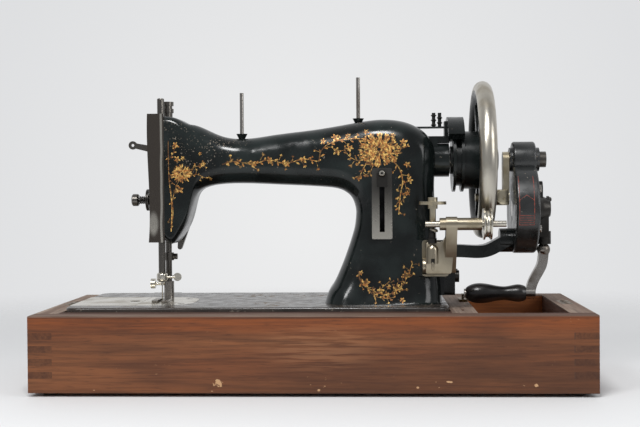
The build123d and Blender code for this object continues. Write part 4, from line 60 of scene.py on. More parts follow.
class Tone(Enum):
    """Colours of the machine, as linear red, green and blue."""

    ENAMEL_DEEP = (0.0036, 0.0047, 0.0045)
    ENAMEL_LIFT = (0.0080, 0.0106, 0.0102)
    ENAMEL_CLOUD = (0.0125, 0.0172, 0.0165)
    ENAMEL_BARE = (0.16, 0.135, 0.105)
    BED_DULL = (0.046, 0.037, 0.031)
    BED_DARK = (0.020, 0.0175, 0.016)
    BED_GILT = (0.14, 0.094, 0.050)
    HOUSING_DEEP = (0.0075, 0.0085, 0.0085)
    HOUSING_LIFT = (0.019, 0.0205, 0.0205)
    NICKEL = (0.60, 0.57, 0.50)
    NICKEL_STAIN = (0.36, 0.32, 0.25)
    RIM_NICKEL = (0.51, 0.48, 0.415)
    AGED = (0.150, 0.140, 0.126)
    AGED_STAIN = (0.070, 0.063, 0.055)
    FACE = (0.125, 0.108, 0.092)
    FACE_STAIN = (0.060, 0.051, 0.044)
    DARK = (0.060, 0.057, 0.053)
    DARK_STAIN = (0.026, 0.024, 0.022)
    CREAM = (0.56, 0.50, 0.37)
    CREAM_STAIN = (0.33, 0.27, 0.17)
    WINDER = (0.37, 0.325, 0.245)
    WINDER_STAIN = (0.22, 0.18, 0.115)
    STEEL = (0.36, 0.34, 0.315)
    STEEL_STAIN = (0.13, 0.108, 0.086)
    WALNUT = (0.152, 0.051, 0.020)
    WALNUT_LIGHT = (0.222, 0.083, 0.032)
    WALNUT_DARK = (0.043, 0.0175, 0.010)
    WALNUT_RED = (0.235, 0.064, 0.017)
    RIM = (0.175, 0.122, 0.092)
    RIM_PALE = (0.33, 0.255, 0.20)
    RAW = (0.31, 0.105, 0.034)
    SHADE = (0.07, 0.034, 0.023)
    CHIP = (0.50, 0.30, 0.155)
    WORN = (0.29, 0.138, 0.068)
    GOLD = (0.98, 0.66, 0.20)
    GOLD_ORANGE = (0.42, 0.165, 0.034)
    GOLD_BROWN = (0.050, 0.020, 0.008)
    STRIPE = (0.30, 0.055, 0.032)
    STRIPE_WORN = (0.10, 0.026, 0.02)
    HANDLE = (0.0085, 0.0075, 0.0075)
    HANDLE_LIFT = (0.026, 0.021, 0.019)
    BRONZE = (0.17, 0.115, 0.055)
    BRONZE_STAIN = (0.05, 0.033, 0.018)
    RUBBER = (0.014, 0.013, 0.0125)
    RUBBER_DUST = (0.045, 0.04, 0.037)


class Along(Enum):
    """Direction that a board's grain runs in."""

    LENGTH = (0.045, 1.0, 1.0)
    DEPTH = (1.0, 0.045, 1.0)


class Bench:
    """Operator work on one piece at a time, with nothing else selected."""

    @staticmethod
    def clear() -> None:
        """Deselect everything."""
        bpy.ops.object.select_all(action="DESELECT")

    @staticmethod
    def pick(piece: bpy.types.Object) -> bpy.types.Object:
        """Select one piece alone and make it active.

        Args:
            piece: The object to work on.

        Returns:
            The same object.
        """
        Bench.clear()
        piece.select_set(True)
        bpy.context.view_layer.objects.active = piece
        return piece

    @staticmethod
    def made(name: str) -> bpy.types.Object:
        """Name the object that the last operator made.

        Args:
            name: The piece's name.

        Returns:
            The new object.
        """
        piece = bpy.context.active_object
        piece.name = name
        piece.data.name = name
        return piece

    @staticmethod
    def settle(piece: bpy.types.Object) -> bpy.types.Object:
        """Put the piece's place, turn and scale into its mesh.

        Args:
            piece: The object to settle.

        Returns:
            The same object, now at the origin.
        """
        Bench.pick(piece)
        bpy.ops.object.transform_apply(location=True, rotation=True, scale=True)
        return piece

    @staticmethod
    def apply(piece: bpy.types.Object, kind: str, **values: object) -> None:
        """Add one modifier and apply it.

        Args:
            piece: The object to modify.
            kind: The modifier's type.
            **values: Settings of the modifier.
        """
        Bench.pick(piece)
        modifier = piece.modifiers.new(kind.lower(), kind)
        for key, value in values.items():
            setattr(modifier, key, value)
        bpy.ops.object.modifier_apply(modifier=modifier.name)

    @staticmethod
    def copy(piece: bpy.types.Object, matrix: Matrix) -> bpy.types.Object:
        """Copy a piece with its own mesh, and place the copy.

        Args:
            piece: The modelled original.
            matrix: Where the copy goes.

        Returns:
            The copy.
        """
        twin = piece.copy()
        twin.data = piece.data.copy()
        twin.matrix_world = matrix
        bpy.context.scene.collection.objects.link(twin)
        return twin

    @staticmethod
    def join(pieces: Sequence[bpy.types.Object], name: str) -> bpy.types.Object:
        """Join pieces into one object at the origin.

        Args:
            pieces: The objects to join.
            name: Name of the result.

        Returns:
            The joined object.
        """
        Bench.pick(pieces[0])
        for piece in pieces[1:]:
            piece.select_set(True)
        bpy.ops.object.transform_apply(location=True, rotation=True, scale=True)
        if len(pieces) > 1:
            bpy.ops.object.join()
        return Bench.made(name)

    @staticmethod
    def remove(piece: bpy.types.Object) -> None:
        """Delete a piece that was only a pattern or a tool.

        Args:
            piece: The object to delete.
        """
        Bench.pick(piece)
        bpy.ops.object.delete()

    @staticmethod
    def cut(piece: bpy.types.Object, tool: bpy.types.Object) -> None:
        """Cut a piece with a tool, and delete the tool.

        Args:
            piece: The object to cut.
            tool: What is taken out of it.
        """
        Bench.apply(piece, "BOOLEAN", object=tool, operation="DIFFERENCE", solver="EXACT")
        Bench.remove(tool)

    @staticmethod
    def stand(seat: Place, axis: Place) -> Matrix:
        """Place and turn of a piece that was modelled upright at the origin.

        Args:
            seat: Where its origin goes, in millimetres.
            axis: Where its height points.

        Returns:
            The matrix.
        """
        look = Vector(axis).to_track_quat("Z", "Y").to_matrix().to_4x4()
        return Matrix.Translation(Vector(seat) * MM) @ look

    @staticmethod
    def choose(piece: bpy.types.Object, test: Callable[[object], bool], kind: str = "VERT") -> None:
        """Enter edit mode with only some elements selected.

        Args:
            piece: The object to edit.
            test: Function of one vertex, edge or face that says whether it is selected.
            kind: VERT, EDGE or FACE.
        """
        Bench.pick(piece)
        bpy.ops.object.mode_set(mode="EDIT")
        bpy.ops.mesh.select_mode(type=kind)
        bpy.ops.mesh.select_all(action="DESELECT")
        bpy.ops.object.mode_set(mode="OBJECT")
        mesh = piece.data
        items = {"VERT": mesh.vertices, "EDGE": mesh.edges, "FACE": mesh.polygons}[kind]
        for item in items:
            item.select = bool(test(item))
        bpy.ops.object.mode_set(mode="EDIT")

    @staticmethod
    def done(piece: bpy.types.Object, angle: float = 35.0) -> bpy.types.Object:
        """Leave edit mode and shade the piece smooth below an angle.

        Args:
            piece: The edited object.
            angle: Edges sharper than this stay sharp, in degrees.

        Returns:
            The same object.
        """
        if bpy.context.mode != "OBJECT":
            bpy.ops.object.mode_set(mode="OBJECT")
        Bench.pick(piece)
        bpy.ops.object.shade_smooth_by_angle(angle=math.radians(angle))
        return piece


class Wiring:
    """Adds and links the nodes of one shader tree."""

    def __init__(self, tree: bpy.types.NodeTree) -> None:
        """Take the tree to work on.

        Args:
            tree: A material's, world's or group's node tree.
        """
        self.tree = tree

    def node(self, kind: str, **sockets: object) -> bpy.types.Node:
        """Add a node and set or link its inputs.

        Args:
            kind: The node's type, without its prefix.
            **sockets: Input names, with underscores for spaces, and a value or a socket for each.

        Returns:
            The node.
        """
        node = self.tree.nodes.new("ShaderNode" + kind)
        for key, value in sockets.items():
            self.feed(node.inputs[key.replace("_", " ")], value)
        return node

    def feed(self, socket: bpy.types.NodeSocket, value: object) -> None:
        """Link a socket, or set its value.

        Args:
            socket: The input.
            value: Another node's output, or a plain value.
        """
        if isinstance(value, bpy.types.NodeSocket):
            self.tree.links.new(value, socket)
        else:
            socket.default_value = value

    def reckon(self, operation: str, *values: object) -> bpy.types.NodeSocket:
        """Work out a value from others.

        Args:
            operation: Blender's name of the operation.
            *values: Outputs or numbers, in the operation's order.

        Returns:
            The result.
        """
        node = self.tree.nodes.new("ShaderNodeMath")
        node.operation = operation
        for socket, value in zip(node.inputs, values):
            self.feed(socket, value)
        return node.outputs[0]


class Group(Enum):
    """Shader node groups that several finishes share."""

    SPECKS = "specks"
    GRAIN = "grain"
    STAINS = "stains"


class GroupShelf:
    """Builds each shared node group once."""

    def __init__(self) -> None:
        """Start with an empty shelf."""
        self.trees: dict[Group, bpy.types.NodeTree] = {}

    def get(self, kind: Group) -> bpy.types.NodeTree:
        """Give a group, building it on first use.

        Args:
            kind: Which group.

        Returns:
            The group's node tree.
        """
        if kind not in self.trees:
            makers = {Group.SPECKS: self.specks, Group.GRAIN: self.grain, Group.STAINS: self.stains}
            self.trees[kind] = makers[kind]()
        return self.trees[kind]

    @staticmethod
    def start(name: str, inputs: dict[str, object], outputs: Iterable[str]) -> bpy.types.NodeTree:
        """Make a tree with its sockets.

        Args:
            name: Name of the group.
            inputs: Input names with default values; None stands for a vector.
            outputs: Names of the value outputs.

        Returns:
            The tree, with its two end nodes.
        """
        tree = bpy.data.node_groups.new(name, "ShaderNodeTree")
        for label, value in inputs.items():
            kind = "NodeSocketVector" if value is None else "NodeSocketFloat"
            socket = tree.interface.new_socket(name=label, in_out="INPUT", socket_type=kind)
            if value is not None:
                socket.default_value = value
        for label in outputs:
            tree.interface.new_socket(name=label, in_out="OUTPUT", socket_type="NodeSocketFloat")
        tree.nodes.new("NodeGroupInput")
        tree.nodes.new("NodeGroupOutput")
        return tree

    def specks(self) -> bpy.types.NodeTree:
        """Scattered small marks: noise cut off high, broken by a second, coarser noise.

        Returns:
            The group's node tree.
        """
        inputs = {"Vector": None, "Scale": 300.0, "Cutoff": 0.66, "Soft": 0.03}
        tree = self.start(Group.SPECKS.value, inputs, ["Mask"])
        wire = Wiring(tree)
        place, scale, cutoff, soft = (tree.nodes["Group Input"].outputs[label] for label in inputs)
        fine = wire.node("TexNoise", Vector=place, Scale=scale, Detail=3.0).outputs["Fac"]
        wide = wire.reckon("MULTIPLY", scale, 0.14)
        coarse = wire.node("TexNoise", Vector=place, Scale=wide, Detail=2.0).outputs["Fac"]
        lower = wire.reckon("MULTIPLY_ADD", fine, 0.84, -0.08)
        blend = wire.reckon("MULTIPLY_ADD", coarse, 0.32, lower)
        cut = wire.node("MapRange", Value=blend, From_Min=cutoff, From_Max=wire.reckon("ADD", cutoff, soft))
        cut.interpolation_type = "SMOOTHSTEP"
        wire.feed(tree.nodes["Group Output"].inputs["Mask"], cut.outputs["Result"])
        return tree

    def grain(self) -> bpy.types.NodeTree:
        """Wood grain from a vector already stretched along the board: bands, streaks and pores.

        Returns:
            The group's node tree.
        """
        tree = self.start(Group.GRAIN.value, {"Vector": None, "Scale": 90.0}, ["Bands", "Streaks", "Pores"])
        wire = Wiring(tree)
        source, sink = tree.nodes["Group Input"], tree.nodes["Group Output"]
        for label, factor, detail, low, high in (
            ("Bands", 0.40, 4.0, 0.34, 0.68),
            ("Streaks", 4.6, 5.0, 0.40, 0.66),
            ("Pores", 14.0, 3.0, 0.56, 0.70),
        ):
            size = wire.reckon("MULTIPLY", source.outputs["Scale"], factor)
            noise = wire.node("TexNoise", Vector=source.outputs["Vector"], Scale=size, Detail=detail,
                              Distortion=0.35)
            spread = wire.node("MapRange", Value=noise.outputs["Fac"], From_Min=low, From_Max=high)
            wire.feed(sink.inputs[label], spread.outputs["Result"])
        return tree

    def stains(self) -> bpy.types.NodeTree:
        """Cloudy stains of worked metal.

        Returns:
            The group's node tree.
        """
        tree = self.start(Group.STAINS.value, {"Vector": None, "Scale": 60.0}, ["Cloud"])
        wire = Wiring(tree)
        place, scale = (tree.nodes["Group Input"].outputs[label] for label in ("Vector", "Scale"))
        cloud = wire.node("TexNoise", Vector=place, Scale=scale, Detail=5.0)
        spread = wire.node("MapRange", Value=cloud.outputs["Fac"], From_Min=0.46, From_Max=0.70)
        wire.feed(tree.nodes["Group Output"].inputs["Cloud"], spread.outputs["Result"])
        return tree


SHELF = GroupShelf()


class Finish(Wiring):
    """One procedural material on Object coordinates."""

    def __init__(self, name: str) -> None:
        """Make the material with its shader.

        Args:
            name: The finish's name.
        """
        self.material = bpy.data.materials.new(name)
        self.material.use_nodes = True
        super().__init__(self.material.node_tree)
        self.shader = self.tree.nodes["Principled BSDF"]
        self.coords = self.tree.nodes.new("ShaderNodeTexCoord").outputs["Object"]

    def stretched(self, scale: Place, move: Place = (0.0, 0.0, 0.0)) -> bpy.types.NodeSocket:
        """Object coordinates, moved and scaled.

        Args:
            scale: Factor on each axis.
            move: Shift in metres, before the scale.

        Returns:
            The vector output.
        """
        shift = tuple(m * s for m, s in zip(move, scale))
        return self.node("Mapping", Vector=self.coords, Scale=scale, Location=shift).outputs["Vector"]

    def noise(self, scale: float, detail: float = 3.0,
              vector: bpy.types.NodeSocket | None = None) -> bpy.types.NodeSocket:
        """Noise value.

        Args:
            scale: Noise scale, in cells per metre.
            detail: Noise detail.
            vector: Coordinates, plain Object ones by default.

        Returns:
            The value output.
        """
        return self.node("TexNoise", Vector=vector or self.coords, Scale=scale, Detail=detail).outputs["Fac"]

    def window(self, value: bpy.types.NodeSocket, low: float, high: float,
               out: Point = (0.0, 1.0)) -> bpy.types.NodeSocket:
        """Map a value smoothly from one span to another.

        Args:
            value: The value to map.
            low: Where the span starts.
            high: Where it ends; it may be below low.
            out: Values at both ends.

        Returns:
            The mapped value.
        """
        node = self.node("MapRange", Value=value, From_Min=low, From_Max=high, To_Min=out[0], To_Max=out[1])
        node.interpolation_type = "SMOOTHSTEP"
        return node.outputs["Result"]

    def axis(self, letter: str) -> bpy.types.NodeSocket:
        """One Object coordinate.

        Args:
            letter: X, Y or Z.

        Returns:
            The coordinate, in metres.
        """
        return self.node("SeparateXYZ", Vector=self.coords).outputs[letter]

    def times(self, *values: object) -> bpy.types.NodeSocket:
        """Product of masks.

        Args:
            *values: Outputs or numbers.

        Returns:
            The product.
        """
        return reduce(lambda first, second: self.reckon("MULTIPLY", first, second), values)

    def most(self, *values: object) -> bpy.types.NodeSocket:
        """Largest of several masks.

        Args:
            *values: Outputs or numbers.

        Returns:
            The largest value.
        """
        return reduce(lambda first, second: self.reckon("MAXIMUM", first, second), values)

    def between(self, value: bpy.types.NodeSocket, low: Point, high: Point) -> bpy.types.NodeSocket:
        """Mask of a band.

        Args:
            value: The value across the band.
            low: Where the band's lower edge starts, and where it is full.
            high: Where its upper edge ends, and where it is still full.

        Returns:
            The mask.
        """
        return self.times(self.window(value, *low), self.window(value, *high))

    def mix(self, mask: object, low: object, high: object) -> bpy.types.NodeSocket:
        """Mix two colours by a mask.

        Args:
            mask: Value from 0 to 1.
            low: Colour or Tone where the mask is 0.
            high: Colour or Tone where the mask is 1.

        Returns:
            The colour output.
        """
        node = self.tree.nodes.new("ShaderNodeMix")
        node.data_type = "RGBA"
        for socket, value in zip((node.inputs[0], node.inputs[6], node.inputs[7]), (mask, low, high)):
            self.feed(socket, (*value.value, 1.0) if isinstance(value, Tone) else value)
        return node.outputs[2]

    def group(self, kind: Group, **sockets: object) -> bpy.types.Node:
        """Place a shared group.

        Args:
            kind: Which group.
            **sockets: Its inputs.

        Returns:
            The group node.
        """
        node = self.tree.nodes.new("ShaderNodeGroup")
        node.node_tree = SHELF.get(kind)
        for key, value in sockets.items():
            self.feed(node.inputs[key], value)
        return node

    def radius(self, centre: Place, keep: Place) -> bpy.types.NodeSocket:
        """Distance from a point, or from an axis through it.

        Args:
            centre: The point, in metres.
            keep: Factor on each direction; 0 leaves a direction out.

        Returns:
            The distance, in metres where the factors are 1.
        """
        vector = self.stretched(keep, tuple(-c for c in centre))
        node = self.tree.nodes.new("ShaderNodeVectorMath")
        node.operation = "LENGTH"
        self.feed(node.inputs[0], vector)
        return node.outputs["Value"]

    def bump(self, height: bpy.types.NodeSocket, depth: float, strength: float = 1.0) -> None:
        """Drive the shader's normal with a height.

        Args:
            height: Height from 0 to 1.
            depth: Real depth, in metres.
            strength: Strength of the bump node.
        """
        node = self.node("Bump", Height=height, Distance=depth, Strength=strength)
        self.feed(self.shader.inputs["Normal"], node.outputs["Normal"])

    def shade(self, **sockets: object) -> "Finish":
        """Set or link inputs of the shader.

        Args:
            **sockets: Shader inputs, with underscores for spaces.

        Returns:
            This finish.
        """
        for key, value in sockets.items():
            self.feed(self.shader.inputs[key.replace("_", " ")], value)
        return self

    def dress(self, *pieces: bpy.types.Object) -> None:
        """Give the pieces this material.

        Args:
            *pieces: CAD nodes or new pieces.
        """
        for piece in pieces:
            if not piece.material_slots:
                piece.data.materials.append(self.material)
            for slot in piece.material_slots:
                slot.material = self.material


@dataclass(frozen=True)
class Metal:
    """A worked metal, polished or aged."""

    name: str
    bright: Tone
    stain: Tone
    smooth: float
    dull: float
    cloud_scale: float = 42.0
    pitted: float = 0.28

    def skin(self, finish: Finish) -> tuple[bpy.types.NodeSocket, bpy.types.NodeSocket]:
        """Colour and roughness of the metal.

        Args:
            finish: The material being built.

        Returns:
            The two outputs.
        """
        worn = finish.group(Group.STAINS, Vector=finish.coords, Scale=self.cloud_scale)
        pits = finish.group(Group.SPECKS, Vector=finish.coords, Scale=560.0, Cutoff=0.66, Soft=0.08)
        cloud = finish.window(worn.outputs["Cloud"], 0.0, 1.0)
        colour = finish.mix(finish.times(cloud, 0.8), self.bright, self.stain)
        colour = finish.mix(finish.times(pits.outputs["Mask"], self.pitted), colour, self.stain)
        rough = finish.window(worn.outputs["Cloud"], 0.0, 1.0, (self.smooth, self.dull))
        finish.bump(finish.noise(150.0, 2.0), 0.00002, 0.18)
        return colour, rough

    def tint(self, finish: Finish, colour: bpy.types.NodeSocket) -> tuple[bpy.types.NodeSocket, object]:
        """Change the metal in places; a plain one stays as it is.

        Args:
            finish: The material being built.
            colour: The metal's colour.

        Returns:
            The colour, and how metallic it is.
        """
        return colour, 1.0

    def make(self) -> Finish:
        """Build the material.

        Returns:
            The finish.
        """
        finish = Finish(self.name)
        colour, rough = self.skin(finish)
        colour, metallic = self.tint(finish, colour)
        return finish.shade(Base_Color=colour, Roughness=rough, Metallic=metallic)


@dataclass(frozen=True)
class PaintedHighlightPlate(Metal):
    """Aged plate with painted highlights: a bright strip along one edge and a bright patch low down."""

    strip: Point = (-0.1536, -0.1516)
    patch: Place = (-0.1610, -0.034, 0.1600)
    sway: float = 0.004

    def tint(self, finish: Finish, colour: bpy.types.NodeSocket) -> tuple[bpy.types.NodeSocket, object]:
        """Paint highlights bright on the strip and the patch.

        Args:
            finish: The material being built.
            colour: The metal's colour.

        Returns:
            The colour, and how metallic it is.
        """
        # Painted highlight: a bright strip that wanders along the plate's edge, and a bright patch low down.
        drift = finish.noise(22.0, 1.0, finish.stretched((0.0, 0.0, 1.0)))
        wander = finish.reckon("MULTIPLY_ADD", drift, self.sway, finish.axis("X"))
        middle = (self.strip[0] + self.strip[1] + self.sway) / 2
        half = (self.strip[1] - self.strip[0]) / 2
        line = finish.between(wander, (middle - half - 0.0005, middle - half + 0.0003),
                              (middle + half + 0.0004, middle + half - 0.0003))
        away = finish.radius(self.patch, (1.0, 0.35, 0.42))
        spot = finish.times(finish.window(away, 0.0062, 0.0028), 0.85)
        return finish.mix(finish.most(line, spot), colour, Tone.NICKEL), 1.0


@dataclass(frozen=True)
class ScalePlate(Metal):
    """Plate that is dark at its top and bright at its foot."""

    low: float = 0.142
    high: float = 0.198

    def tint(self, finish: Finish, colour: bpy.types.NodeSocket) -> tuple[bpy.types.NodeSocket, object]:
        """Darken the plate towards its top.

        Args:
            finish: The material being built.
            colour: The metal's colour.

        Returns:
            The colour, and how metallic it is.
        """
        rise = finish.window(finish.axis("Z"), self.low, self.high)
        return finish.mix(finish.times(rise, 0.93), colour, Tone.DARK), 1.0


@dataclass(frozen=True)
class CuppedPins(Metal):
    """Bright pins whose foot cups are blackened."""

    axes: tuple[Place, Place] = ((-0.07424, -0.008, 0.0), (0.0443, -0.008, 0.0))
    pin: float = 0.00215

    def tint(self, finish: Finish, colour: bpy.types.NodeSocket) -> tuple[bpy.types.NodeSocket, object]:
        """Blacken what lies farther out than the pins.

        Args:
            finish: The material being built.
            colour: The metal's colour.

        Returns:
            The colour, and how metallic it is.
        """
        away = [finish.radius(axis, (1.0, 1.0, 0.0)) for axis in self.axes]
        cup = finish.times(*(finish.window(far, self.pin, self.pin + 0.0002) for far in away))
        return finish.mix(cup, colour, Tone.ENAMEL_LIFT), finish.reckon("SUBTRACT", 1.0, cup)


@dataclass(frozen=True)
class Enamel:
    """Baked black enamel with small chips, and more of them where it was handled most."""

    name: str
    low: Tone = Tone.ENAMEL_DEEP
    high: Tone = Tone.ENAMEL_LIFT
    chip_cutoff: float = 0.70
    smooth: float = 0.20
    dull: float = 0.36
    shine: float = 0.34
    handled: tuple[Place, float] | None = None

    def coat(self, finish: Finish) -> tuple[bpy.types.NodeSocket, ...]:
        """Colour, roughness and chip mask of the enamel.

        Args:
            finish: The material being built.

        Returns:
            The three outputs.
        """
        tone = finish.window(finish.noise(26.0, 4.0), 0.35, 0.7)
        chips = finish.group(Group.SPECKS, Vector=finish.coords, Scale=420.0, Cutoff=self.chip_cutoff,
                             Soft=0.02)
        bare = chips.outputs["Mask"]
        if self.handled:
            centre, reach = self.handled
            fine = finish.group(Group.SPECKS, Vector=finish.coords, Scale=640.0, Cutoff=0.625, Soft=0.02)
            near = finish.window(finish.radius(centre, (0.8, 0.5, 1.0)), reach, reach * 0.4)
            bare = finish.most(bare, finish.times(fine.outputs["Mask"], near))
        colour = finish.mix(tone, self.low, self.high)
        colour = finish.mix(bare, colour, Tone.ENAMEL_BARE)
        rough = finish.window(finish.noise(75.0, 5.0), 0.35, 0.7, (self.smooth, self.dull))
        return colour, rough, bare

    def make(self) -> Finish:
        """Build the material.

        Returns:
            The finish.
        """
        finish = Finish(self.name)
        colour, rough, chips = self.coat(finish)
        matt = finish.most(rough, finish.times(chips, 0.6))
        finish.shade(Base_Color=colour, Roughness=matt, Specular_IOR_Level=self.shine)
        orange_peel = finish.noise(160.0, 2.0)
        finish.bump(orange_peel, 0.00004, 0.16)
        return finish


@dataclass(frozen=True)
class GiltBed(Enamel):
    """Bed enamel: dull, brownish, with the last of its gold lines and sprays."""

    inset: float = 0.0075
    line: float = 0.0016
    low_corner: Place = (-0.242, -0.077, 0.0)
    high_corner: Place = (0.132, 0.091, 0.0)
    top: float = 0.080
    sprays: tuple[tuple[Place, float], ...] = (
        ((-0.045, -0.045, 0.0), 0.06), ((-0.205, -0.058, 0.0), 0.035), ((-0.03, 0.05, 0.0), 0.06))

    def make(self) -> Finish:
        """Build the material.

        Returns:
            The finish.
        """
        finish = Finish(self.name)
        colour, rough, chips = self.coat(finish)
        insets = []
        for letter, low, high in zip("XY", self.low_corner, self.high_corner):
            off = finish.reckon("SUBTRACT", finish.axis(letter), (low + high) / 2)
            insets.append(finish.reckon("SUBTRACT", (high - low) / 2, finish.reckon("ABSOLUTE", off)))
        edge = finish.reckon("MINIMUM", *insets)
        outer = self.inset + self.line
        stripe = finish.between(edge, (self.inset, self.inset + 0.0003), (outer, outer - 0.0003))
        worn = finish.window(finish.noise(34.0, 5.0), 0.46, 0.6)
        petals = finish.window(finish.noise(150.0, 5.0), 0.5, 0.58)
        here = [finish.window(finish.radius(centre, (0.55, 1.9, 0.0)), reach, reach * 0.35)
                for centre, reach in self.sprays]
        lines = finish.times(stripe, worn, 0.85)
        flowers = finish.times(finish.most(*here), petals, worn, 0.8)
        top = finish.window(finish.axis("Z"), self.top - 0.002, self.top - 0.001)
        gilt = finish.times(finish.most(lines, flowers), top)
        # Bed lighter towards the left, darker towards the pillar.
        lighter_leftwards = finish.times(finish.window(finish.axis("X"), 0.02, -0.20), 0.55)
        colour = finish.mix(lighter_leftwards, colour, Tone.BED_DULL)
        colour = finish.mix(gilt, colour, Tone.BED_GILT)
        matt = finish.most(rough, finish.times(chips, 0.6), finish.times(gilt, 0.85))
        finish.shade(Base_Color=colour, Roughness=matt, Specular_IOR_Level=self.shine)
        finish.bump(finish.noise(90.0, 2.0), 0.00003, 0.12)
        return finish


@dataclass(frozen=True)
class RimmedEnamel(Enamel):
    """Handwheel finish: enamelled hub and spokes, bright plated rim."""

    centre: Place = (0.169, -0.008, 0.222)
    rim: float = 0.0700

    def make(self) -> Finish:
        """Build the material.

        Returns:
            The finish.
        """
        finish = Finish(self.name)
        colour, rough, _ = self.coat(finish)
        away = finish.radius(self.centre, (0.0, 1.0, 1.0))
        ragged = finish.reckon("MULTIPLY_ADD", finish.noise(40.0, 1.0), 0.0006, away)
        plated = finish.window(ragged, self.rim + 0.0001, self.rim + 0.0007)
        worn = finish.group(Group.STAINS, Vector=finish.coords, Scale=55.0)
        metal = finish.mix(worn.outputs["Cloud"], Tone.RIM_NICKEL, Tone.NICKEL_STAIN)
        shine = finish.window(worn.outputs["Cloud"], 0.0, 1.0, (0.30, 0.42))
        gloss = finish.node("Mix")
        for index, value in ((0, plated), (2, rough), (3, shine)):
            finish.feed(gloss.inputs[index], value)
        finish.shade(Base_Color=finish.mix(plated, colour, metal), Metallic=plated,
                     Roughness=gloss.outputs[0], Specular_IOR_Level=self.shine)
        finish.bump(finish.noise(120.0, 2.0), 0.00002, 0.15)
        return finish


@dataclass(frozen=True)
class Board:
    """Varnished walnut board, with worn rim, chips, torn spots and bare or shaded inner faces."""

    name: str
    along: Along
    shift: Place = (0.0, 0.0, 0.0)
    rim: float = 0.076
    inside: tuple[str, float, float, Tone] | None = None
    ends: float | None = None
    whole: Tone | None = None
    wear: Point | None = None
    scars: tuple[tuple[float, float, float, float], ...] = ()
    top: tuple[Tone, Tone] = (Tone.RIM, Tone.RIM_PALE)
    rings: tuple[float, ...] = (0.40, 0.46, 0.52, 0.585)
    tear: float = 2.4

    def varnish(self, finish: Finish, wood: bpy.types.Node) -> bpy.types.NodeSocket:
        """Colour of the varnished wood, with its figure and smoke.

        Args:
            finish: The material being built.
            wood: The grain.

        Returns:
            The colour.
        """
        colour = finish.mix(wood.outputs["Bands"], Tone.WALNUT, Tone.WALNUT_LIGHT)
        glow = finish.window(finish.axis("Z"), self.rim - 0.024, self.rim - 0.005)
        colour = finish.mix(finish.times(glow, 0.72), colour, Tone.WALNUT_RED)
        smoke = finish.window(finish.noise(18.0, 5.0, finish.stretched((0.28, 0.28, 1.0))), 0.42, 0.66)
        flow = tuple(0.5 * part for part in self.along.value)
        rings = finish.noise(26.0, 2.0, finish.stretched(flow, self.shift))
        lines = [finish.between(rings, (at - 0.022, at - 0.002), (at + 0.012, at - 0.002)) for at in self.rings]
        for mask, depth in ((wood.outputs["Streaks"], 0.42), (smoke, 0.52), (finish.most(*lines), 0.34),
                            (wood.outputs["Pores"], 0.55)):
            colour = finish.mix(finish.times(mask, depth), colour, Tone.WALNUT_DARK)
        return colour

    def faces(self, finish: Finish, wood: bpy.types.Node, colour: bpy.types.NodeSocket) -> bpy.types.NodeSocket:
        """Worn patch, stain, end grain and inner face of the boards that have them.

        Args:
            finish: The material being built.
            wood: The grain.
            colour: The varnished colour.

        Returns:
            The colour.
        """
        if self.wear:
            away = finish.radius((self.wear[0], 0.0, self.wear[1]), (0.55, 0.0, 1.5))
            pale = finish.window(wood.outputs["Streaks"], 0.7, 0.1)
            patch = finish.times(finish.window(away, 0.042, 0.012), pale)
            colour = finish.mix(finish.times(patch, 0.4), colour, Tone.WORN)
        if self.whole:
            colour = finish.mix(0.72, colour, self.whole)
        if self.ends:
            far = finish.reckon("ABSOLUTE", finish.axis("Y"))
            end_grain = finish.window(far, self.ends - 0.0004, self.ends)
            colour = finish.mix(finish.times(end_grain, 0.5), colour, Tone.WALNUT_DARK)
        if self.inside:
            letter, low, high, tone = self.inside
            inner = finish.window(finish.axis(letter), low, high)
            fresh = finish.mix(finish.times(wood.outputs["Streaks"], 0.35), tone, Tone.WALNUT_DARK)
            colour = finish.mix(inner, colour, fresh)
        return colour

    def losses(self, finish: Finish) -> bpy.types.NodeSocket:
        """Mask of the chips along both edges and of the torn spots.

        Args:
            finish: The material being built.

        Returns:
            The mask.
        """
        height = finish.axis("Z")
        chips = finish.group(Group.SPECKS, Vector=finish.stretched((0.5, 0.5, 1.0)),
                             Scale=380.0 if self.scars else 150.0, Cutoff=0.70, Soft=0.012)
        low_edge = finish.window(height, 0.030, 0.006)
        top_edge = finish.window(height, self.rim - 0.005, self.rim - 0.001)
        loss = finish.times(chips.outputs["Mask"], finish.most(low_edge, top_edge, 0.12))
        for x, z, long, tall in self.scars:
            away = finish.radius((x, 0.0, z), (1.0 / long, 0.0, 1.0 / tall))
            torn = finish.reckon("MULTIPLY_ADD", finish.noise(300.0), self.tear, away)
            loss = finish.most(loss, finish.window(torn, 2.1, 1.9))
        return loss

    def make(self) -> Finish:
        """Build the material.

        Returns:
            The finish.
        """
        finish = Finish(self.name)
        wood = finish.group(Group.GRAIN, Vector=finish.stretched(self.along.value, self.shift), Scale=95.0)
        streaks, height = wood.outputs["Streaks"], finish.axis("Z")
        colour = self.faces(finish, wood, self.varnish(finish, wood))
        colour = finish.mix(self.losses(finish), colour, Tone.CHIP)
        rubbed = finish.window(finish.noise(60.0, 4.0, finish.stretched(self.along.value)), 0.35, 0.68)
        rim_tone = finish.mix(rubbed, *self.top)
        rim_tone = finish.mix(finish.times(streaks, 0.5), rim_tone, Tone.WALNUT_DARK)
        worn_rim = finish.window(height, self.rim - 0.0014, self.rim - 0.0004)
        edge_line = finish.times(finish.window(height, self.rim - 0.0030, self.rim - 0.0020), rubbed)
        colour = finish.mix(finish.times(edge_line, 0.8), colour, Tone.WALNUT_DARK)
        colour = finish.mix(finish.times(worn_rim, 0.9), colour, rim_tone)
        rough = finish.window(streaks, 0.0, 1.0, (0.40, 0.58))
        matt = finish.most(rough, finish.times(worn_rim, 0.75))
        finish.bump(finish.most(wood.outputs["Pores"], finish.times(streaks, 0.5)), 0.00025, -0.5)
        return finish.shade(Base_Color=colour, Roughness=matt, Specular_IOR_Level=0.32)


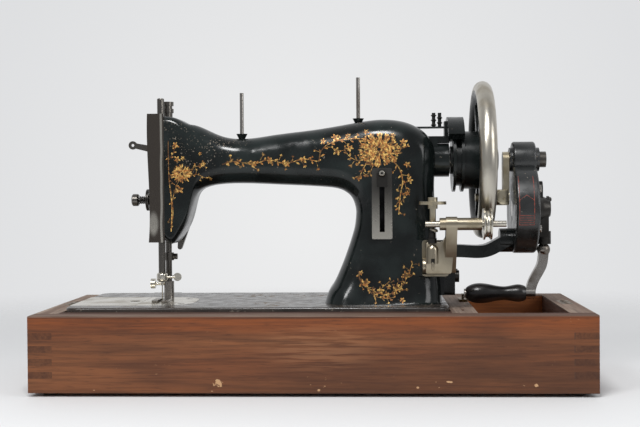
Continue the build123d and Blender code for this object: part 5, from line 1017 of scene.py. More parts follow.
@dataclass(frozen=True)
class Mottled:
    """Plain material of two tones under cloudy noise."""

    name: str
    low: Tone
    high: Tone
    smooth: float
    dull: float
    metal: float = 0.0
    scale: float = 120.0
    stretch: Place = (1.0, 1.0, 1.0)

    def make(self) -> Finish:
        """Build the material.

        Returns:
            The finish.
        """
        finish = Finish(self.name)
        cloud = finish.noise(self.scale, 5.0, finish.stretched(self.stretch))
        mask = finish.window(cloud, 0.38, 0.66)
        rough = finish.window(cloud, 0.3, 0.7, (self.smooth, self.dull))
        finish.shade(Base_Color=finish.mix(mask, self.low, self.high), Roughness=rough, Metallic=self.metal)
        finish.bump(finish.noise(self.scale * 5, 3.0, finish.stretched(self.stretch)), 0.00005, 0.3)
        return finish


@dataclass(frozen=True)
class GoldLeaf:
    """Gold transfer: bright edges, orange bodies, dark roots and veins along each leaf's own map."""

    name: str = "gold_leaf"

    def make(self) -> Finish:
        """Build the material.

        Returns:
            The finish.
        """
        finish = Finish(self.name)
        chart = finish.node("SeparateXYZ", Vector=finish.tree.nodes["Texture Coordinate"].outputs["UV"])
        along, across = chart.outputs["X"], chart.outputs["Y"]
        warm = finish.window(finish.noise(420.0, 2.0), 0.42, 0.56)
        colour = finish.mix(warm, Tone.GOLD, Tone.GOLD_ORANGE)
        middle = finish.between(across, (0.34, 0.46), (0.66, 0.54))
        vein = finish.times(middle, finish.window(along, 0.86, 0.60))
        root = finish.window(along, 0.50, 0.12)
        body = finish.between(across, (0.08, 0.26), (0.92, 0.74))
        colour = finish.mix(finish.times(body, 0.45), colour, Tone.GOLD_ORANGE)
        shade = finish.most(finish.times(vein, 0.85), finish.times(root, 0.8))
        colour = finish.mix(shade, colour, Tone.GOLD_BROWN)
        elsewhere = finish.stretched((1.0, 1.0, 1.0), (0.37, 0.11, 0.53))
        worn = finish.window(finish.noise(360.0, 2.0, elsewhere), 0.50, 0.58)
        colour = finish.mix(finish.times(worn, 0.8), colour, Tone.GOLD_BROWN)
        finish.shade(Base_Color=colour, Roughness=finish.window(warm, 0.0, 1.0, (0.34, 0.48)), Metallic=0.3)
        return finish


class Paintbox:
    """Every finish of the machine, built once."""

    def __init__(self) -> None:
        """Build the finishes."""
        self.enamel = Enamel("black_enamel").make()
        self.arm = Enamel("arm_enamel", high=Tone.ENAMEL_CLOUD, smooth=0.12, dull=0.26, shine=0.36,
                          handled=((-0.112, -0.025, 0.245), 0.045)).make()
        self.dull_enamel = Enamel("dull_enamel", chip_cutoff=0.66, smooth=0.30, dull=0.5).make()
        self.bed = GiltBed("bed_enamel", low=Tone.BED_DARK, high=Tone.BED_DULL, chip_cutoff=0.64, smooth=0.20,
                           dull=0.34, shine=0.5).make()
        self.wheel = RimmedEnamel("wheel_finish").make()
        self.nickel = Metal("nickel", Tone.NICKEL, Tone.NICKEL_STAIN, 0.24, 0.40).make()
        self.aged = Metal("aged_nickel", Tone.AGED, Tone.AGED_STAIN, 0.24, 0.38, 26.0, 0.10).make()
        self.face = PaintedHighlightPlate("face_nickel", Tone.FACE, Tone.FACE_STAIN, 0.22, 0.34, 20.0).make()
        self.scale = ScalePlate("scale_nickel", Tone.NICKEL, Tone.STEEL, 0.26, 0.42, 30.0).make()
        self.housing = Enamel("housing_enamel", Tone.HOUSING_DEEP, Tone.HOUSING_LIFT, 0.67, 0.24, 0.38,
                              0.7).make()
        self.winder = Metal("winder_nickel", Tone.WINDER, Tone.WINDER_STAIN, 0.30, 0.46).make()
        self.pins = CuppedPins("pin_steel", Tone.STEEL, Tone.STEEL_STAIN, 0.22, 0.34, 20.0, 0.06).make()
        self.dark = Metal("dark_steel", Tone.DARK, Tone.DARK_STAIN, 0.28, 0.46).make()
        self.cream = Metal("cream_nickel", Tone.CREAM, Tone.CREAM_STAIN, 0.28, 0.42).make()
        self.steel = Metal("steel", Tone.STEEL, Tone.STEEL_STAIN, 0.24, 0.42).make()
        self.bronze = Mottled("bronze", Tone.BRONZE, Tone.BRONZE_STAIN, 0.35, 0.55, 1.0, 200.0).make()
        self.rubber = Mottled("rubber", Tone.RUBBER, Tone.RUBBER_DUST, 0.7, 0.9).make()
        self.handle = Mottled("black_wood", Tone.HANDLE, Tone.HANDLE_LIFT, 0.26, 0.46, 0.0, 160.0,
                              (0.12, 1.0, 1.0)).make()
        self.gold = GoldLeaf().make()
        self.stripe = Mottled("red_stripe", Tone.STRIPE, Tone.STRIPE_WORN, 0.4, 0.55, 0.0, 260.0).make()
        self.front = Board("front_walnut", Along.LENGTH, wear=(0.008, 0.046), top=(Tone.SHADE, Tone.RIM),
                           scars=((-0.0856, 0.0134, 0.0056, 0.0034), (0.1285, 0.0146, 0.0040, 0.0009),
                                  (0.2077, 0.0118, 0.0020, 0.0016), (0.0993, 0.0094, 0.0012, 0.0012))).make()
        self.back = Board("back_walnut", Along.LENGTH, (0.31, 0.2, 0.13),
                          inside=("Y", 0.0932, 0.0924, Tone.RAW)).make()
        self.left = Board("left_walnut", Along.DEPTH, (0.17, 0.4, 0.09), ends=0.1148).make()
        self.right = Board("right_walnut", Along.DEPTH, (0.53, 0.1, 0.21), ends=0.1148,
                           inside=("X", 0.2442, 0.2434, Tone.SHADE)).make()
        self.rail = Board("rail_walnut", Along.LENGTH, (0.7, 0.33, 0.4), whole=Tone.SHADE,
                          top=(Tone.WALNUT_DARK, Tone.SHADE)).make()
        self.bridge = Board("bridge_walnut", Along.DEPTH, (0.9, 0.13, 0.3), whole=Tone.RIM).make()
        self.floor = Board("floor_walnut", Along.LENGTH, (0.2, 0.7, 0.5), whole=Tone.RAW).make()


class ScrewKit:
    """Slotted screw heads, modelled once and copied."""

    soft_edge: float = 0.22
    saw_size: Place = (3.0, 0.26, 0.8)

    def __init__(self) -> None:
        """Model the pattern: a round head with a soft top edge and a sawn slot."""
        Bench.clear()
        bpy.ops.mesh.primitive_cylinder_add(vertices=28, radius=1.0, depth=1.0, location=(0.0, 0.0, 0.5))
        self.pattern = Bench.made("screw_pattern")
        Bench.settle(self.pattern)
        mesh = self.pattern.data
        Bench.choose(self.pattern, lambda e: all(mesh.vertices[i].co.z > 0.9 for i in e.vertices), "EDGE")
        bpy.ops.mesh.bevel(offset=self.soft_edge, segments=3, affect="EDGES")
        bpy.ops.object.mode_set(mode="OBJECT")
        bpy.ops.mesh.primitive_cube_add(size=1.0, location=(0.0, 0.0, 1.0))
        saw = Bench.made("saw")
        saw.scale = self.saw_size
        Bench.settle(saw)
        Bench.cut(self.pattern, saw)
        Bench.done(self.pattern)

    def set(self, name: str, body: str, finish: Finish,
            screws: Iterable[tuple[Place, Place, float, float, float]], slot: str = "steel") -> None:
        """Place several screws as one piece.

        Args:
            name: The piece's name.
            body: The body it rides on.
            finish: Its material.
            screws: Seat, outward axis, radius, height and turn of each, in millimetres and degrees.
            slot: Not used.
        """
        copies = []
        for seat, axis, radius, height, turn in screws:
            size = Matrix.Diagonal((radius * MM, radius * MM, height * MM, 1.0))
            spin = Matrix.Rotation(math.radians(turn), 4, "Z")
            copies.append(Bench.copy(self.pattern, Bench.stand(seat, axis) @ spin @ size))
        piece = Bench.join(copies, name)
        Bench.done(piece)
        finish.dress(piece)
        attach(piece, body)
        LOG.info("%s: %d screws on %s", name, len(copies), body)

    def put_away(self) -> None:
        """Delete the pattern."""
        Bench.remove(self.pattern)


class Spray:
    """Flat ornament drawn in millimetres on the front view, then laid on a casting."""

    root: Place = (0.5, 0.0, 0.0)
    rings: tuple[tuple[float, int], ...] = (
        (1.0, 21), (0.84, 19), (0.68, 16), (0.52, 13), (0.36, 9), (0.20, 6))
    clearance: float = 0.00005
    missed: float = 0.004
    longest: float = 0.006

    def __init__(self, name: str, seed: int) -> None:
        """Start an empty sheet.

        Args:
            name: Name of the piece that results.
            seed: Seed of the small turns of leaves and petals.
        """
        self.name = name
        self.draw = random.Random(seed)
        self.parts: list[bpy.types.Object] = []
        Bench.clear()
        bpy.ops.mesh.primitive_grid_add(x_subdivisions=5, y_subdivisions=3, size=1.0, location=self.root)
        self.petal_pattern = Bench.made("petal_pattern")
        Bench.settle(self.petal_pattern)
        for vertex in self.petal_pattern.data.vertices:
            x = vertex.co.x
            vertex.co.y *= 0.12 + 0.88 * math.sin(math.pi * min(1.0, 0.06 + x * 0.86)) ** 0.8

    def petal(self, at: Point, length: float, width: float, turn: float, lift: float = 0.0) -> None:
        """Place one petal or leaf.

        Args:
            at: Where its root is.
            length: Its length.
            width: Its greatest width.
            turn: Its direction, in degrees from +X.
            lift: Height above the sheet, which orders what overlaps.
        """
        place = Matrix.Translation((at[0], at[1], lift))
        turned = Matrix.Rotation(math.radians(turn), 4, "Z")
        size = Matrix.Diagonal((length, width, 1.0, 1.0))
        self.parts.append(Bench.copy(self.petal_pattern, place @ turned @ size))

    def blossom(self, at: Point, radius: float, petals: int = 5) -> None:
        """Place a small open flower with a heart of three short petals.

        Args:
            at: Its middle.
            radius: Its radius.
            petals: How many petals.
        """
        start = self.draw.uniform(0.0, 72.0)
        for i in range(petals):
            turn = start + i * 360.0 / petals + self.draw.uniform(-9.0, 9.0)
            self.petal(at, radius * self.draw.uniform(0.85, 1.12), radius * 0.46, turn, 0.02 * (i % 2))
        for i in range(3):
            self.petal(at, radius * 0.44, radius * 0.26, start + 30.0 + 120.0 * i, 0.05)

    def blossoms(self, *flowers: tuple[float, float, float]) -> None:
        """Place several small flowers.

        Args:
            *flowers: X, Y and radius of each.
        """
        for x, y, radius in flowers:
            self.blossom((x, y), radius)

    def fan(self, at: Point, heading: float, length: float, leaves: int = 3, spread: float = 70.0) -> None:
        """Place a fan of narrow leaves.

        Args:
            at: Their root.
            heading: Direction of the middle leaf, in degrees.
            length: Length of a leaf.
            leaves: How many.
            spread: Angle between the outer leaves.
        """
        for i in range(leaves):
            turn = heading + spread * (i / max(1, leaves - 1) - 0.5)
            self.petal(at, length * self.draw.uniform(0.75, 1.05), length * 0.32, turn, 0.01 * (i % 2))

    def sprig(self, at: Point, heading: float, length: float) -> None:
        """Draw a thin curling twig that ends in a fan.

        Args:
            at: Its root.
            heading: Direction it starts in, in degrees.
            length: Its length.
        """
        bend = self.draw.choice((-1.0, 1.0)) * self.draw.uniform(12.0, 34.0)
        knots, x, y = [at], at[0], at[1]
        for step in (0.0, 1.0):
            angle = math.radians(heading + bend * step)
            x, y = x + 0.5 * length * math.cos(angle), y + 0.5 * length * math.sin(angle)
            knots.append((x, y))
        self.stem(knots, 0.42, 0, taper=0.4)
        self.fan((x, y), heading + bend, length * 0.42)

    def chrysanthemum(self, at: Point, radius: float, squash: float = 0.8) -> None:
        """Place a full flower of many narrow petals in rings, closed at its heart.

        Args:
            at: Its middle.
            radius: Its outer radius.
            squash: Height against width.
        """
        for ring, (share, count) in enumerate(self.rings):
            for i in range(count):
                angle = math.radians(360.0 * (i + 0.5 * (ring % 2)) / count + self.draw.uniform(-6.0, 6.0))
                reach = radius * share * self.draw.uniform(0.86, 1.06)
                root = radius * share * 0.45
                across, up = math.cos(angle), squash * math.sin(angle)
                lean = math.degrees(math.atan2(up, across))
                start = (at[0] + root * across, at[1] + root * up)
                self.petal(start, reach - root, radius * 0.13, lean, 0.02 * ring)

    def stem(self, points: Sequence[Point], width: float, leaves: int = 0, leaf: float = 5.0,
             taper: float = 0.6, sprigs: int = 0) -> None:
        """Draw a curved stem, with leaves along it.

        Args:
            points: Points that it passes through.
            width: Width at its root.
            leaves: How many leaves.
            leaf: Length of a leaf.
            taper: Share of the width lost at the tip.
            sprigs: How many twigs branch off.
        """
        Bench.clear()
        bpy.ops.curve.primitive_bezier_curve_add(location=(0.0, 0.0, 0.0))
        path = Bench.made("stem_path")
        spline = path.data.splines[0]
        spline.bezier_points.add(len(points) - 2)
        path.data.resolution_u = 10
        path.data.twist_mode = "Z_UP"
        for knot, (x, y) in zip(spline.bezier_points, points):
            knot.co = (x, y, 0.0)
            knot.handle_left_type = knot.handle_right_type = "AUTO"
        bpy.context.view_layer.update()
        length = spline.calc_length()
        steps = max(6, int(length / 1.4))
        bpy.ops.mesh.primitive_grid_add(x_subdivisions=steps, y_subdivisions=1, size=1.0, location=self.root)
        strip = Bench.made("stem")
        Bench.settle(strip)
        for vertex in strip.data.vertices:
            vertex.co.y *= width * (1.0 - taper * vertex.co.x)
            vertex.co.x *= length
        Bench.apply(strip, "CURVE", object=path, deform_axis="POS_X")
        spots = [vertex.co.copy() for vertex in strip.data.vertices]
        Bench.remove(path)
        self.parts.append(strip)
        half = len(spots) // 2
        for count, twig in ((leaves, False), (sprigs, True)):
            for i in range(count):
                k = int((i + 0.7) / count * (half - 2)) + 1
                here, ahead = spots[k], spots[min(k + 1, half - 1)]
                heading = math.degrees(math.atan2(ahead.y - here.y, ahead.x - here.x))
                side = 1 if (i + twig) % 2 else -1
                turn = heading + side * self.draw.uniform(35.0, 60.0)
                size = leaf * self.draw.uniform(0.7, 1.1)
                if twig:
                    self.sprig((here.x, here.y), turn, size * 1.5)
                else:
                    self.petal((here.x, here.y), size, leaf * 0.34, turn)

    def lay(self, casting: bpy.types.Object, body: str, finish: Finish, front: float,
            skin: float = 0.1) -> None:
        """Lay the drawing on a casting's front as a thin skin.

        Args:
            casting: The CAD node that it lies on.
            body: The body it rides on.
            finish: Its material.
            front: Where the sheet starts from, in millimetres along Y.
            skin: Thickness, in millimetres.
        """
        Bench.remove(self.petal_pattern)
        piece = Bench.join(self.parts, self.name)
        sheet = front * MM
        stand = Matrix.Rotation(math.radians(90.0), 4, "X")
        size = Matrix.Diagonal((MM, MM, MM, 1.0))
        piece.matrix_world = Matrix.Translation((0.0, sheet, 0.0)) @ stand @ size
        Bench.settle(piece)
        lifts = {v.index: abs(v.co.y - sheet) for v in piece.data.vertices}
        Bench.apply(piece, "SHRINKWRAP", target=casting, wrap_method="PROJECT", use_project_y=True,
                    use_positive_direction=True, use_negative_direction=False, offset=self.clearance)
        mesh = piece.data
        for vertex in mesh.vertices:
            if abs(vertex.co.y - sheet) > self.missed:
                vertex.co.y -= lifts[vertex.index]
        Bench.choose(piece, lambda v: abs(v.co.y - sheet) < self.missed)
        bpy.ops.mesh.delete(type="VERT")
        bpy.ops.object.mode_set(mode="OBJECT")
        spots = [vertex.co.copy() for vertex in mesh.vertices]
        spans = {e.index: (spots[e.vertices[0]] - spots[e.vertices[1]]).length for e in mesh.edges}
        Bench.choose(piece, lambda e: spans[e.index] > self.longest, "EDGE")
        bpy.ops.mesh.delete(type="EDGE")
        bpy.ops.mesh.select_all(action="SELECT")
        bpy.ops.mesh.delete_loose(use_verts=True, use_edges=True, use_faces=False)
        bpy.ops.object.mode_set(mode="OBJECT")
        Bench.apply(piece, "SOLIDIFY", thickness=skin * MM, offset=1.0)
        Bench.done(piece)
        finish.dress(piece)
        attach(piece, body)
        LOG.info("%s: laid on %s", self.name, casting.name)


@dataclass
class Studio:
    """Camera at the photograph's place, pale floor and soft light."""

    place: Place = (0.06099, -1.19194, 0.19197)
    yaw: float = 2.715
    pitch: float = -1.117
    roll: float = -0.408
    lens: float = 65.54
    sensor: float = 36.0
    floor_reach: float = 2.4
    floor_tone: Place = (0.715, 0.722, 0.726)
    floor_fade: float = 0.34
    lamps: tuple[tuple[str, Place, Point, float], ...] = (
        ("overhead_soft", (-0.06, -0.80, 1.18), (0.34, 0.28), 11.0),
        ("left_soft", (-0.62, -1.05, 1.05), (0.30, 0.30), 5.5),
        ("right_soft", (1.35, -0.8, 0.75), (0.6, 0.8), 6.5),
    )
    world_strength: float = 0.52
    room: tuple[tuple[float, Place], ...] = ((0.40, (0.62, 0.63, 0.66)), (0.80, (1.45, 1.46, 1.48)))
    backdrop: tuple[tuple[float, Place], ...] = ((0.02, (0.845, 0.848, 0.852)), (0.30, (0.735, 0.742, 0.755)))
    backdrop_centre: Place = (-0.047, 0.999, -0.02)

    def camera(self) -> None:
        """Set the camera where the photograph was taken from."""
        yaw, pitch, roll = (math.radians(v) for v in (self.yaw, self.pitch, self.roll))
        level = Vector((-math.sin(yaw), math.cos(yaw), 0.0))
        right = Vector((math.cos(yaw), math.sin(yaw), 0.0))
        up = Vector(UP)
        ahead = level * math.cos(pitch) + up * math.sin(pitch)
        over = up * math.cos(pitch) - level * math.sin(pitch)
        side = right * math.cos(roll) + over * math.sin(roll)
        top = over * math.cos(roll) - right * math.sin(roll)
        turn = Matrix((side, top, -ahead)).transposed().to_4x4()
        bpy.ops.object.camera_add()
        camera = Bench.made("photo_camera")
        camera.matrix_world = Matrix.Translation(self.place) @ turn
        camera.data.lens = self.lens
        camera.data.sensor_width = self.sensor
        camera.data.sensor_fit = "HORIZONTAL"
        camera.data.clip_end = 20.0
        camera.data.dof.use_dof = False
        bpy.context.scene.camera = camera

    def lamp(self, name: str, place: Place, size: Point, watts: float, aim: Place = (0.0, 0.0, 0.12)) -> None:
        """Hang one soft lamp.

        Args:
            name: The lamp's name.
            place: Where it hangs, in metres.
            size: Its two sides.
            watts: Its power.
            aim: What it points at.
        """
        bpy.ops.object.light_add(type="AREA", location=place)
        lamp = Bench.made(name)
        lamp.data.shape = "RECTANGLE"
        lamp.data.size, lamp.data.size_y = size
        lamp.data.energy = watts
        lamp.rotation_euler = (Vector(aim) - Vector(place)).to_track_quat("-Z", "Y").to_euler()

    @staticmethod
    def ramp(wire: Wiring, value: bpy.types.NodeSocket,
             ends: Sequence[tuple[float, Place]]) -> bpy.types.NodeSocket:
        """Colour that runs from one tone to another.

        Args:
            wire: The tree to work on.
            value: What the colour follows.
            ends: Position and colour of both ends.

        Returns:
            The colour output.
        """
        node = wire.node("ValToRGB", Fac=value)
        for element, (position, colour) in zip(node.color_ramp.elements, ends):
            element.position = position
            element.color = (*colour, 1.0)
        return node.outputs["Color"]

    def light(self) -> None:
        """Hang the lamps and set the world: bright behind, dim in front, pale to the camera."""
        for name, place, size, watts in self.lamps:
            self.lamp(name, place, size, watts)
        world = bpy.data.worlds.new("pale_studio")
        bpy.context.scene.world = world
        world.use_nodes = True
        wire = Wiring(world.node_tree)
        way = wire.node("TexCoord").outputs["Generated"]
        behind = wire.reckon("MULTIPLY_ADD", wire.node("SeparateXYZ", Vector=way).outputs["Y"], 0.5, 0.5)
        base = world.node_tree.nodes["Background"]
        base.inputs["Strength"].default_value = self.world_strength
        wire.feed(base.inputs["Color"], self.ramp(wire, behind, self.room))
        off = wire.node("VectorMath")
        off.operation = "DISTANCE"
        wire.feed(off.inputs[0], way)
        wire.feed(off.inputs[1], self.backdrop_centre)
        seen = wire.node("Background", Color=self.ramp(wire, off.outputs["Value"], self.backdrop))
        path = wire.node("LightPath")
        sight = wire.reckon("MAXIMUM", path.outputs["Is Camera Ray"], path.outputs["Is Transmission Ray"])
        mix = wire.node("MixShader", Fac=sight)
        wire.feed(mix.inputs[1], base.outputs[0])
        wire.feed(mix.inputs[2], seen.outputs[0])
        wire.feed(world.node_tree.nodes["World Output"].inputs["Surface"], mix.outputs[0])

    def floor(self) -> None:
        """Lay a pale round floor that fades into the background."""
        Bench.clear()
        bpy.ops.mesh.primitive_circle_add(vertices=96, radius=self.floor_reach, fill_type="NGON")
        floor = Bench.made("studio_floor")
        finish = Finish("pale_floor")
        finish.shade(Base_Color=(*self.floor_tone, 1.0), Roughness=0.75)
        away = finish.radius((0.0, 0.0, 0.0), (1.0, 1.0, 0.0))
        blend = finish.node("MixShader", Fac=finish.window(away, self.floor_fade, self.floor_reach * 0.5))
        finish.feed(blend.inputs[1], finish.shader.outputs[0])
        finish.feed(blend.inputs[2], finish.node("BsdfTransparent").outputs[0])
        finish.feed(finish.tree.nodes["Material Output"].inputs["Surface"], blend.outputs[0])
        finish.dress(floor)

    def set(self) -> None:
        """Build the studio."""
        self.camera()
        self.light()
        self.floor()
        bpy.context.scene.view_settings.view_transform = "Standard"


@dataclass
class Dressing:
    """Finishes of the CAD nodes, and their smooth shading."""

    nodes: dict[str, bpy.types.Object]
    paint: Paintbox
    weld: float = 0.00002
    crease: float = 30.0

    def plan(self) -> dict[str, Finish]:
        """Say which finish each node gets.

        Returns:
            Finish by node name.
        """
        paint = self.paint
        plan: dict[str, Finish] = {}
        for finish, names in (
            (paint.arm, "arm"),
            (paint.enamel, "crank_bracket pulley_guard"),
            (paint.housing, "gear_housing gear_cover"),
            (paint.bed, "bed"),
            (paint.wheel, "handwheel"),
            (paint.face, "face_plate"),
            (paint.scale, "stitch_plate"),
            (paint.pins, "spool_pins"),
            (paint.dark, "crank_hub bracket_bolts stitch_lever tension_spring tension_discs"),
            (paint.cream, "driver_arm winder_cam"),
            (paint.aged, "needle_bar presser_bar needle_bar_bushes take_up_lever presser_lifter"
                         " pressure_screw hinge_tongues hinge_brackets tension_nut drive_pinion"),
            (paint.nickel, "needle_plate slide_plate winder_spindle needle_clamp presser_foot_screw needle"),
            (paint.steel, "main_shaft shaft_bushes clutch_knob crank_gear crank_arm presser_foot"
                          " needle_link feed_dog hook_race hook_shaft shuttle_hook"),
            (paint.dull_enamel, "winder_guide"),
            (paint.winder, "winder_plate winder_frame"),
            (paint.bronze, "turn_button lock_plates"),
            (paint.handle, "crank_handle"),
            (paint.rubber, "base_feet"),
            (paint.front, "base_front_board"),
            (paint.back, "base_back_board"),
            (paint.left, "base_left_board"),
            (paint.right, "base_right_board"),
            (paint.rail, "front_rail"),
            (paint.bridge, "left_ledge bridge_rail divider_board"),
            (paint.floor, "base_floor_panel"),
        ):
            for name in names.split():
                plan[name] = finish
        return plan

    def dress(self) -> None:
        """Give every node its finish, welded and smooth below the crease angle."""
        plan = self.plan()
        for name, node in self.nodes.items():
            plan[name].dress(node)
            Bench.pick(node)
            bpy.ops.object.shade_smooth()
            weld = node.modifiers.new("weld", "WELD")
            weld.merge_threshold = self.weld
            split = node.modifiers.new("crease", "EDGE_SPLIT")
            split.split_angle = math.radians(self.crease)
            split.use_edge_sharp = False
            LOG.info("%s: %s", name, plan[name].material.name)


@dataclass
class Gilding:
    """Gold flower sprays of the arm and red lines of the gear housing."""

    nodes: dict[str, bpy.types.Object]
    paint: Paintbox
    arm_sheet: float = -75.0
    housing_sheet: float = -70.0
    band_left: float = 201.2
    band_right: float = 215.6

    def transfer(self, spray: Spray) -> None:
        """Lay a spray on the arm in gold.

        Args:
            spray: The finished drawing.
        """
        spray.lay(self.nodes["arm"], "head", self.paint.gold, self.arm_sheet)

    def head(self) -> None:
        """Spray on the head beside the face plate."""
        spray = Spray("gilt_head", 11)
        spray.stem([(-145.4, 243.0), (-145.4, 226.0), (-144.8, 204.0), (-142.4, 178.0), (-143.4, 152.0)],
                   0.8, 4, 3.2, 0.1, 2)
        spray.stem([(-144.8, 205.0), (-142.8, 190.0), (-141.2, 172.0), (-143.2, 153.0)], 0.6, 0, taper=0.1)
        spray.stem([(-142.4, 180.0), (-140.0, 190.0), (-137.0, 199.0), (-134.0, 205.0)], 0.8, 4, 3.6, 0.4, 1)
        spray.stem([(-144.8, 205.0), (-140.0, 210.0), (-136.0, 212.0)], 0.7, 2, 3.4)
        spray.stem([(-145.0, 224.0), (-141.0, 230.0), (-137.5, 238.0)], 0.6, 5, 3.6)
        spray.stem([(-126.0, 213.0), (-119.0, 216.5), (-110.0, 219.5)], 0.5, 4, 3.2, 0.5, 2)
        spray.stem([(-124.0, 208.0), (-117.0, 209.0), (-107.0, 204.5)], 0.45, 4, 3.0, 0.5, 3)
        spray.chrysanthemum((-132.0, 210.0), 10.6)
        spray.blossoms((-138.6, 238.5, 3.4), (-136.5, 224.5, 3.4), (-131.0, 225.5, 2.4), (-111.5, 219.3, 3.4),
                       (-134.4, 194.0, 4.2), (-137.4, 193.0, 2.8), (-114.0, 230.0, 1.8), (-104.0, 204.6, 1.6))
        self.transfer(spray)

    def shoulder(self) -> None:
        """Large spray where the arm meets the pillar."""
        spray = Spray("gilt_shoulder", 23)
        spray.stem([(5.5, 222.0), (8.0, 232.0), (18.0, 239.5), (35.0, 243.0), (52.0, 243.0)],
                   1.0, 12, 4.6, 0.4, 6)
        spray.stem([(60.0, 226.0), (50.0, 222.0), (39.0, 223.5), (30.5, 233.0)], 0.8, 9, 4.4, 0.5, 5)
        spray.stem([(58.0, 224.0), (51.0, 216.0), (45.0, 204.0)], 0.8, 7, 4.2, 0.5, 4)
        spray.stem([(66.0, 224.0), (58.0, 214.0), (56.0, 207.0)], 0.7, 6, 4.0, 0.5, 2)
        spray.stem([(70.0, 226.0), (83.0, 216.0), (88.0, 202.0), (86.0, 189.0), (84.0, 168.0)],
                   1.2, 12, 4.2, 0.4, 7)
        spray.stem([(87.0, 204.0), (91.0, 196.0), (90.0, 186.0), (84.5, 178.0)], 0.6, 5, 3.4, 0.4, 2)
        spray.stem([(78.0, 222.0), (84.0, 228.0), (88.0, 236.0)], 0.7, 5, 3.8, 0.5, 2)
        x, z = heart = (65.0, 232.5)
        spray.chrysanthemum(heart, 18.0, 0.74)
        for i in range(14):
            angle = 360.0 * i / 14 + 11.0
            turn = math.radians(angle)
            spray.fan((x + 15.0 * math.cos(turn), z + 11.5 * math.sin(turn)), angle, 6.0, 3, 60.0)
        spray.blossoms((23.4, 231.0, 4.4), (9.8, 241.0, 3.0), (21.5, 245.0, 3.8), (36.5, 234.0, 3.6),
                       (89.0, 239.0, 4.2), (93.0, 217.0, 3.4), (95.0, 202.0, 3.6), (92.8, 189.0, 2.8),
                       (45.0, 204.0, 2.6), (52.5, 250.0, 3.0), (35.0, 246.5, 2.8), (79.0, 246.0, 2.6))
        self.transfer(spray)

    def foot(self) -> None:
        """Garland at the pillar's foot."""
        spray = Spray("gilt_foot", 37)
        spray.stem([(44.0, 112.0), (47.0, 101.0), (58.0, 94.0), (72.0, 90.0), (85.0, 96.0), (92.0, 107.0),
                    (97.5, 121.0)], 0.8, 20, 4.0, 0.3, 12)
        spray.stem([(54.0, 96.0), (58.0, 90.0), (68.0, 86.5), (80.0, 87.0)], 0.6, 8, 3.4, 0.3, 5)
        spray.stem([(62.0, 92.0), (68.0, 97.0), (76.0, 104.0)], 0.7, 4, 3.4, 0.4, 2)
        spray.stem([(74.0, 88.0), (80.0, 96.0), (84.0, 104.0)], 0.7, 4, 3.4, 0.4, 2)
        spray.blossoms((51.5, 101.0, 4.6), (65.5, 93.5, 3.8), (84.5, 95.5, 3.8), (91.0, 109.0, 4.0),
                       (46.5, 111.0, 2.4), (87.0, 84.5, 3.0), (74.0, 97.0, 2.6))
        self.transfer(spray)

    def arm(self) -> None:
        """Slender vine along the arm."""
        spray = Spray("gilt_arm", 41)
        spray.stem([(-92.0, 219.0), (-78.0, 222.0), (-62.0, 219.0), (-45.0, 223.0), (-28.0, 219.5),
                    (-10.0, 223.5), (5.0, 221.0)], 0.8, 22, 4.6, 0.2, 12)
        spray.blossoms((-86.5, 220.5, 2.2), (-76.5, 221.5, 2.8), (-61.0, 219.5, 3.6), (-44.5, 223.0, 3.8),
                       (-27.5, 219.5, 3.8), (-10.0, 223.5, 3.2))
        self.transfer(spray)

    def housing(self) -> None:
        """Red lines on the gear housing's front band."""
        spray = Spray("housing_lines", 5)
        left, right = self.band_left, self.band_right
        middle = (left + right) / 2
        for x in (left, right):
            spray.stem([(x, 205.0), (x, 190.0), (x, 172.0), (x, 157.0)], 0.55, taper=0.0)
        spray.stem([(left, 181.5), ((left + middle) / 2, 184.0), (middle, 186.5)], 0.5, taper=0.0)
        spray.stem([(middle, 186.5), ((right + middle) / 2, 184.0), (right, 181.5)], 0.5, taper=0.0)
        for i in range(5):
            z = 166.5 - i * 2.3
            spray.stem([(left, z), (middle, z), (right, z)], 0.5, taper=0.0)
        spray.lay(self.nodes["gear_housing"], "head", self.paint.stripe, self.housing_sheet,
                  0.06)

    def gild(self) -> None:
        """Lay all the ornament."""
        self.head()
        self.shoulder()
        self.foot()
        self.arm()
        self.housing()


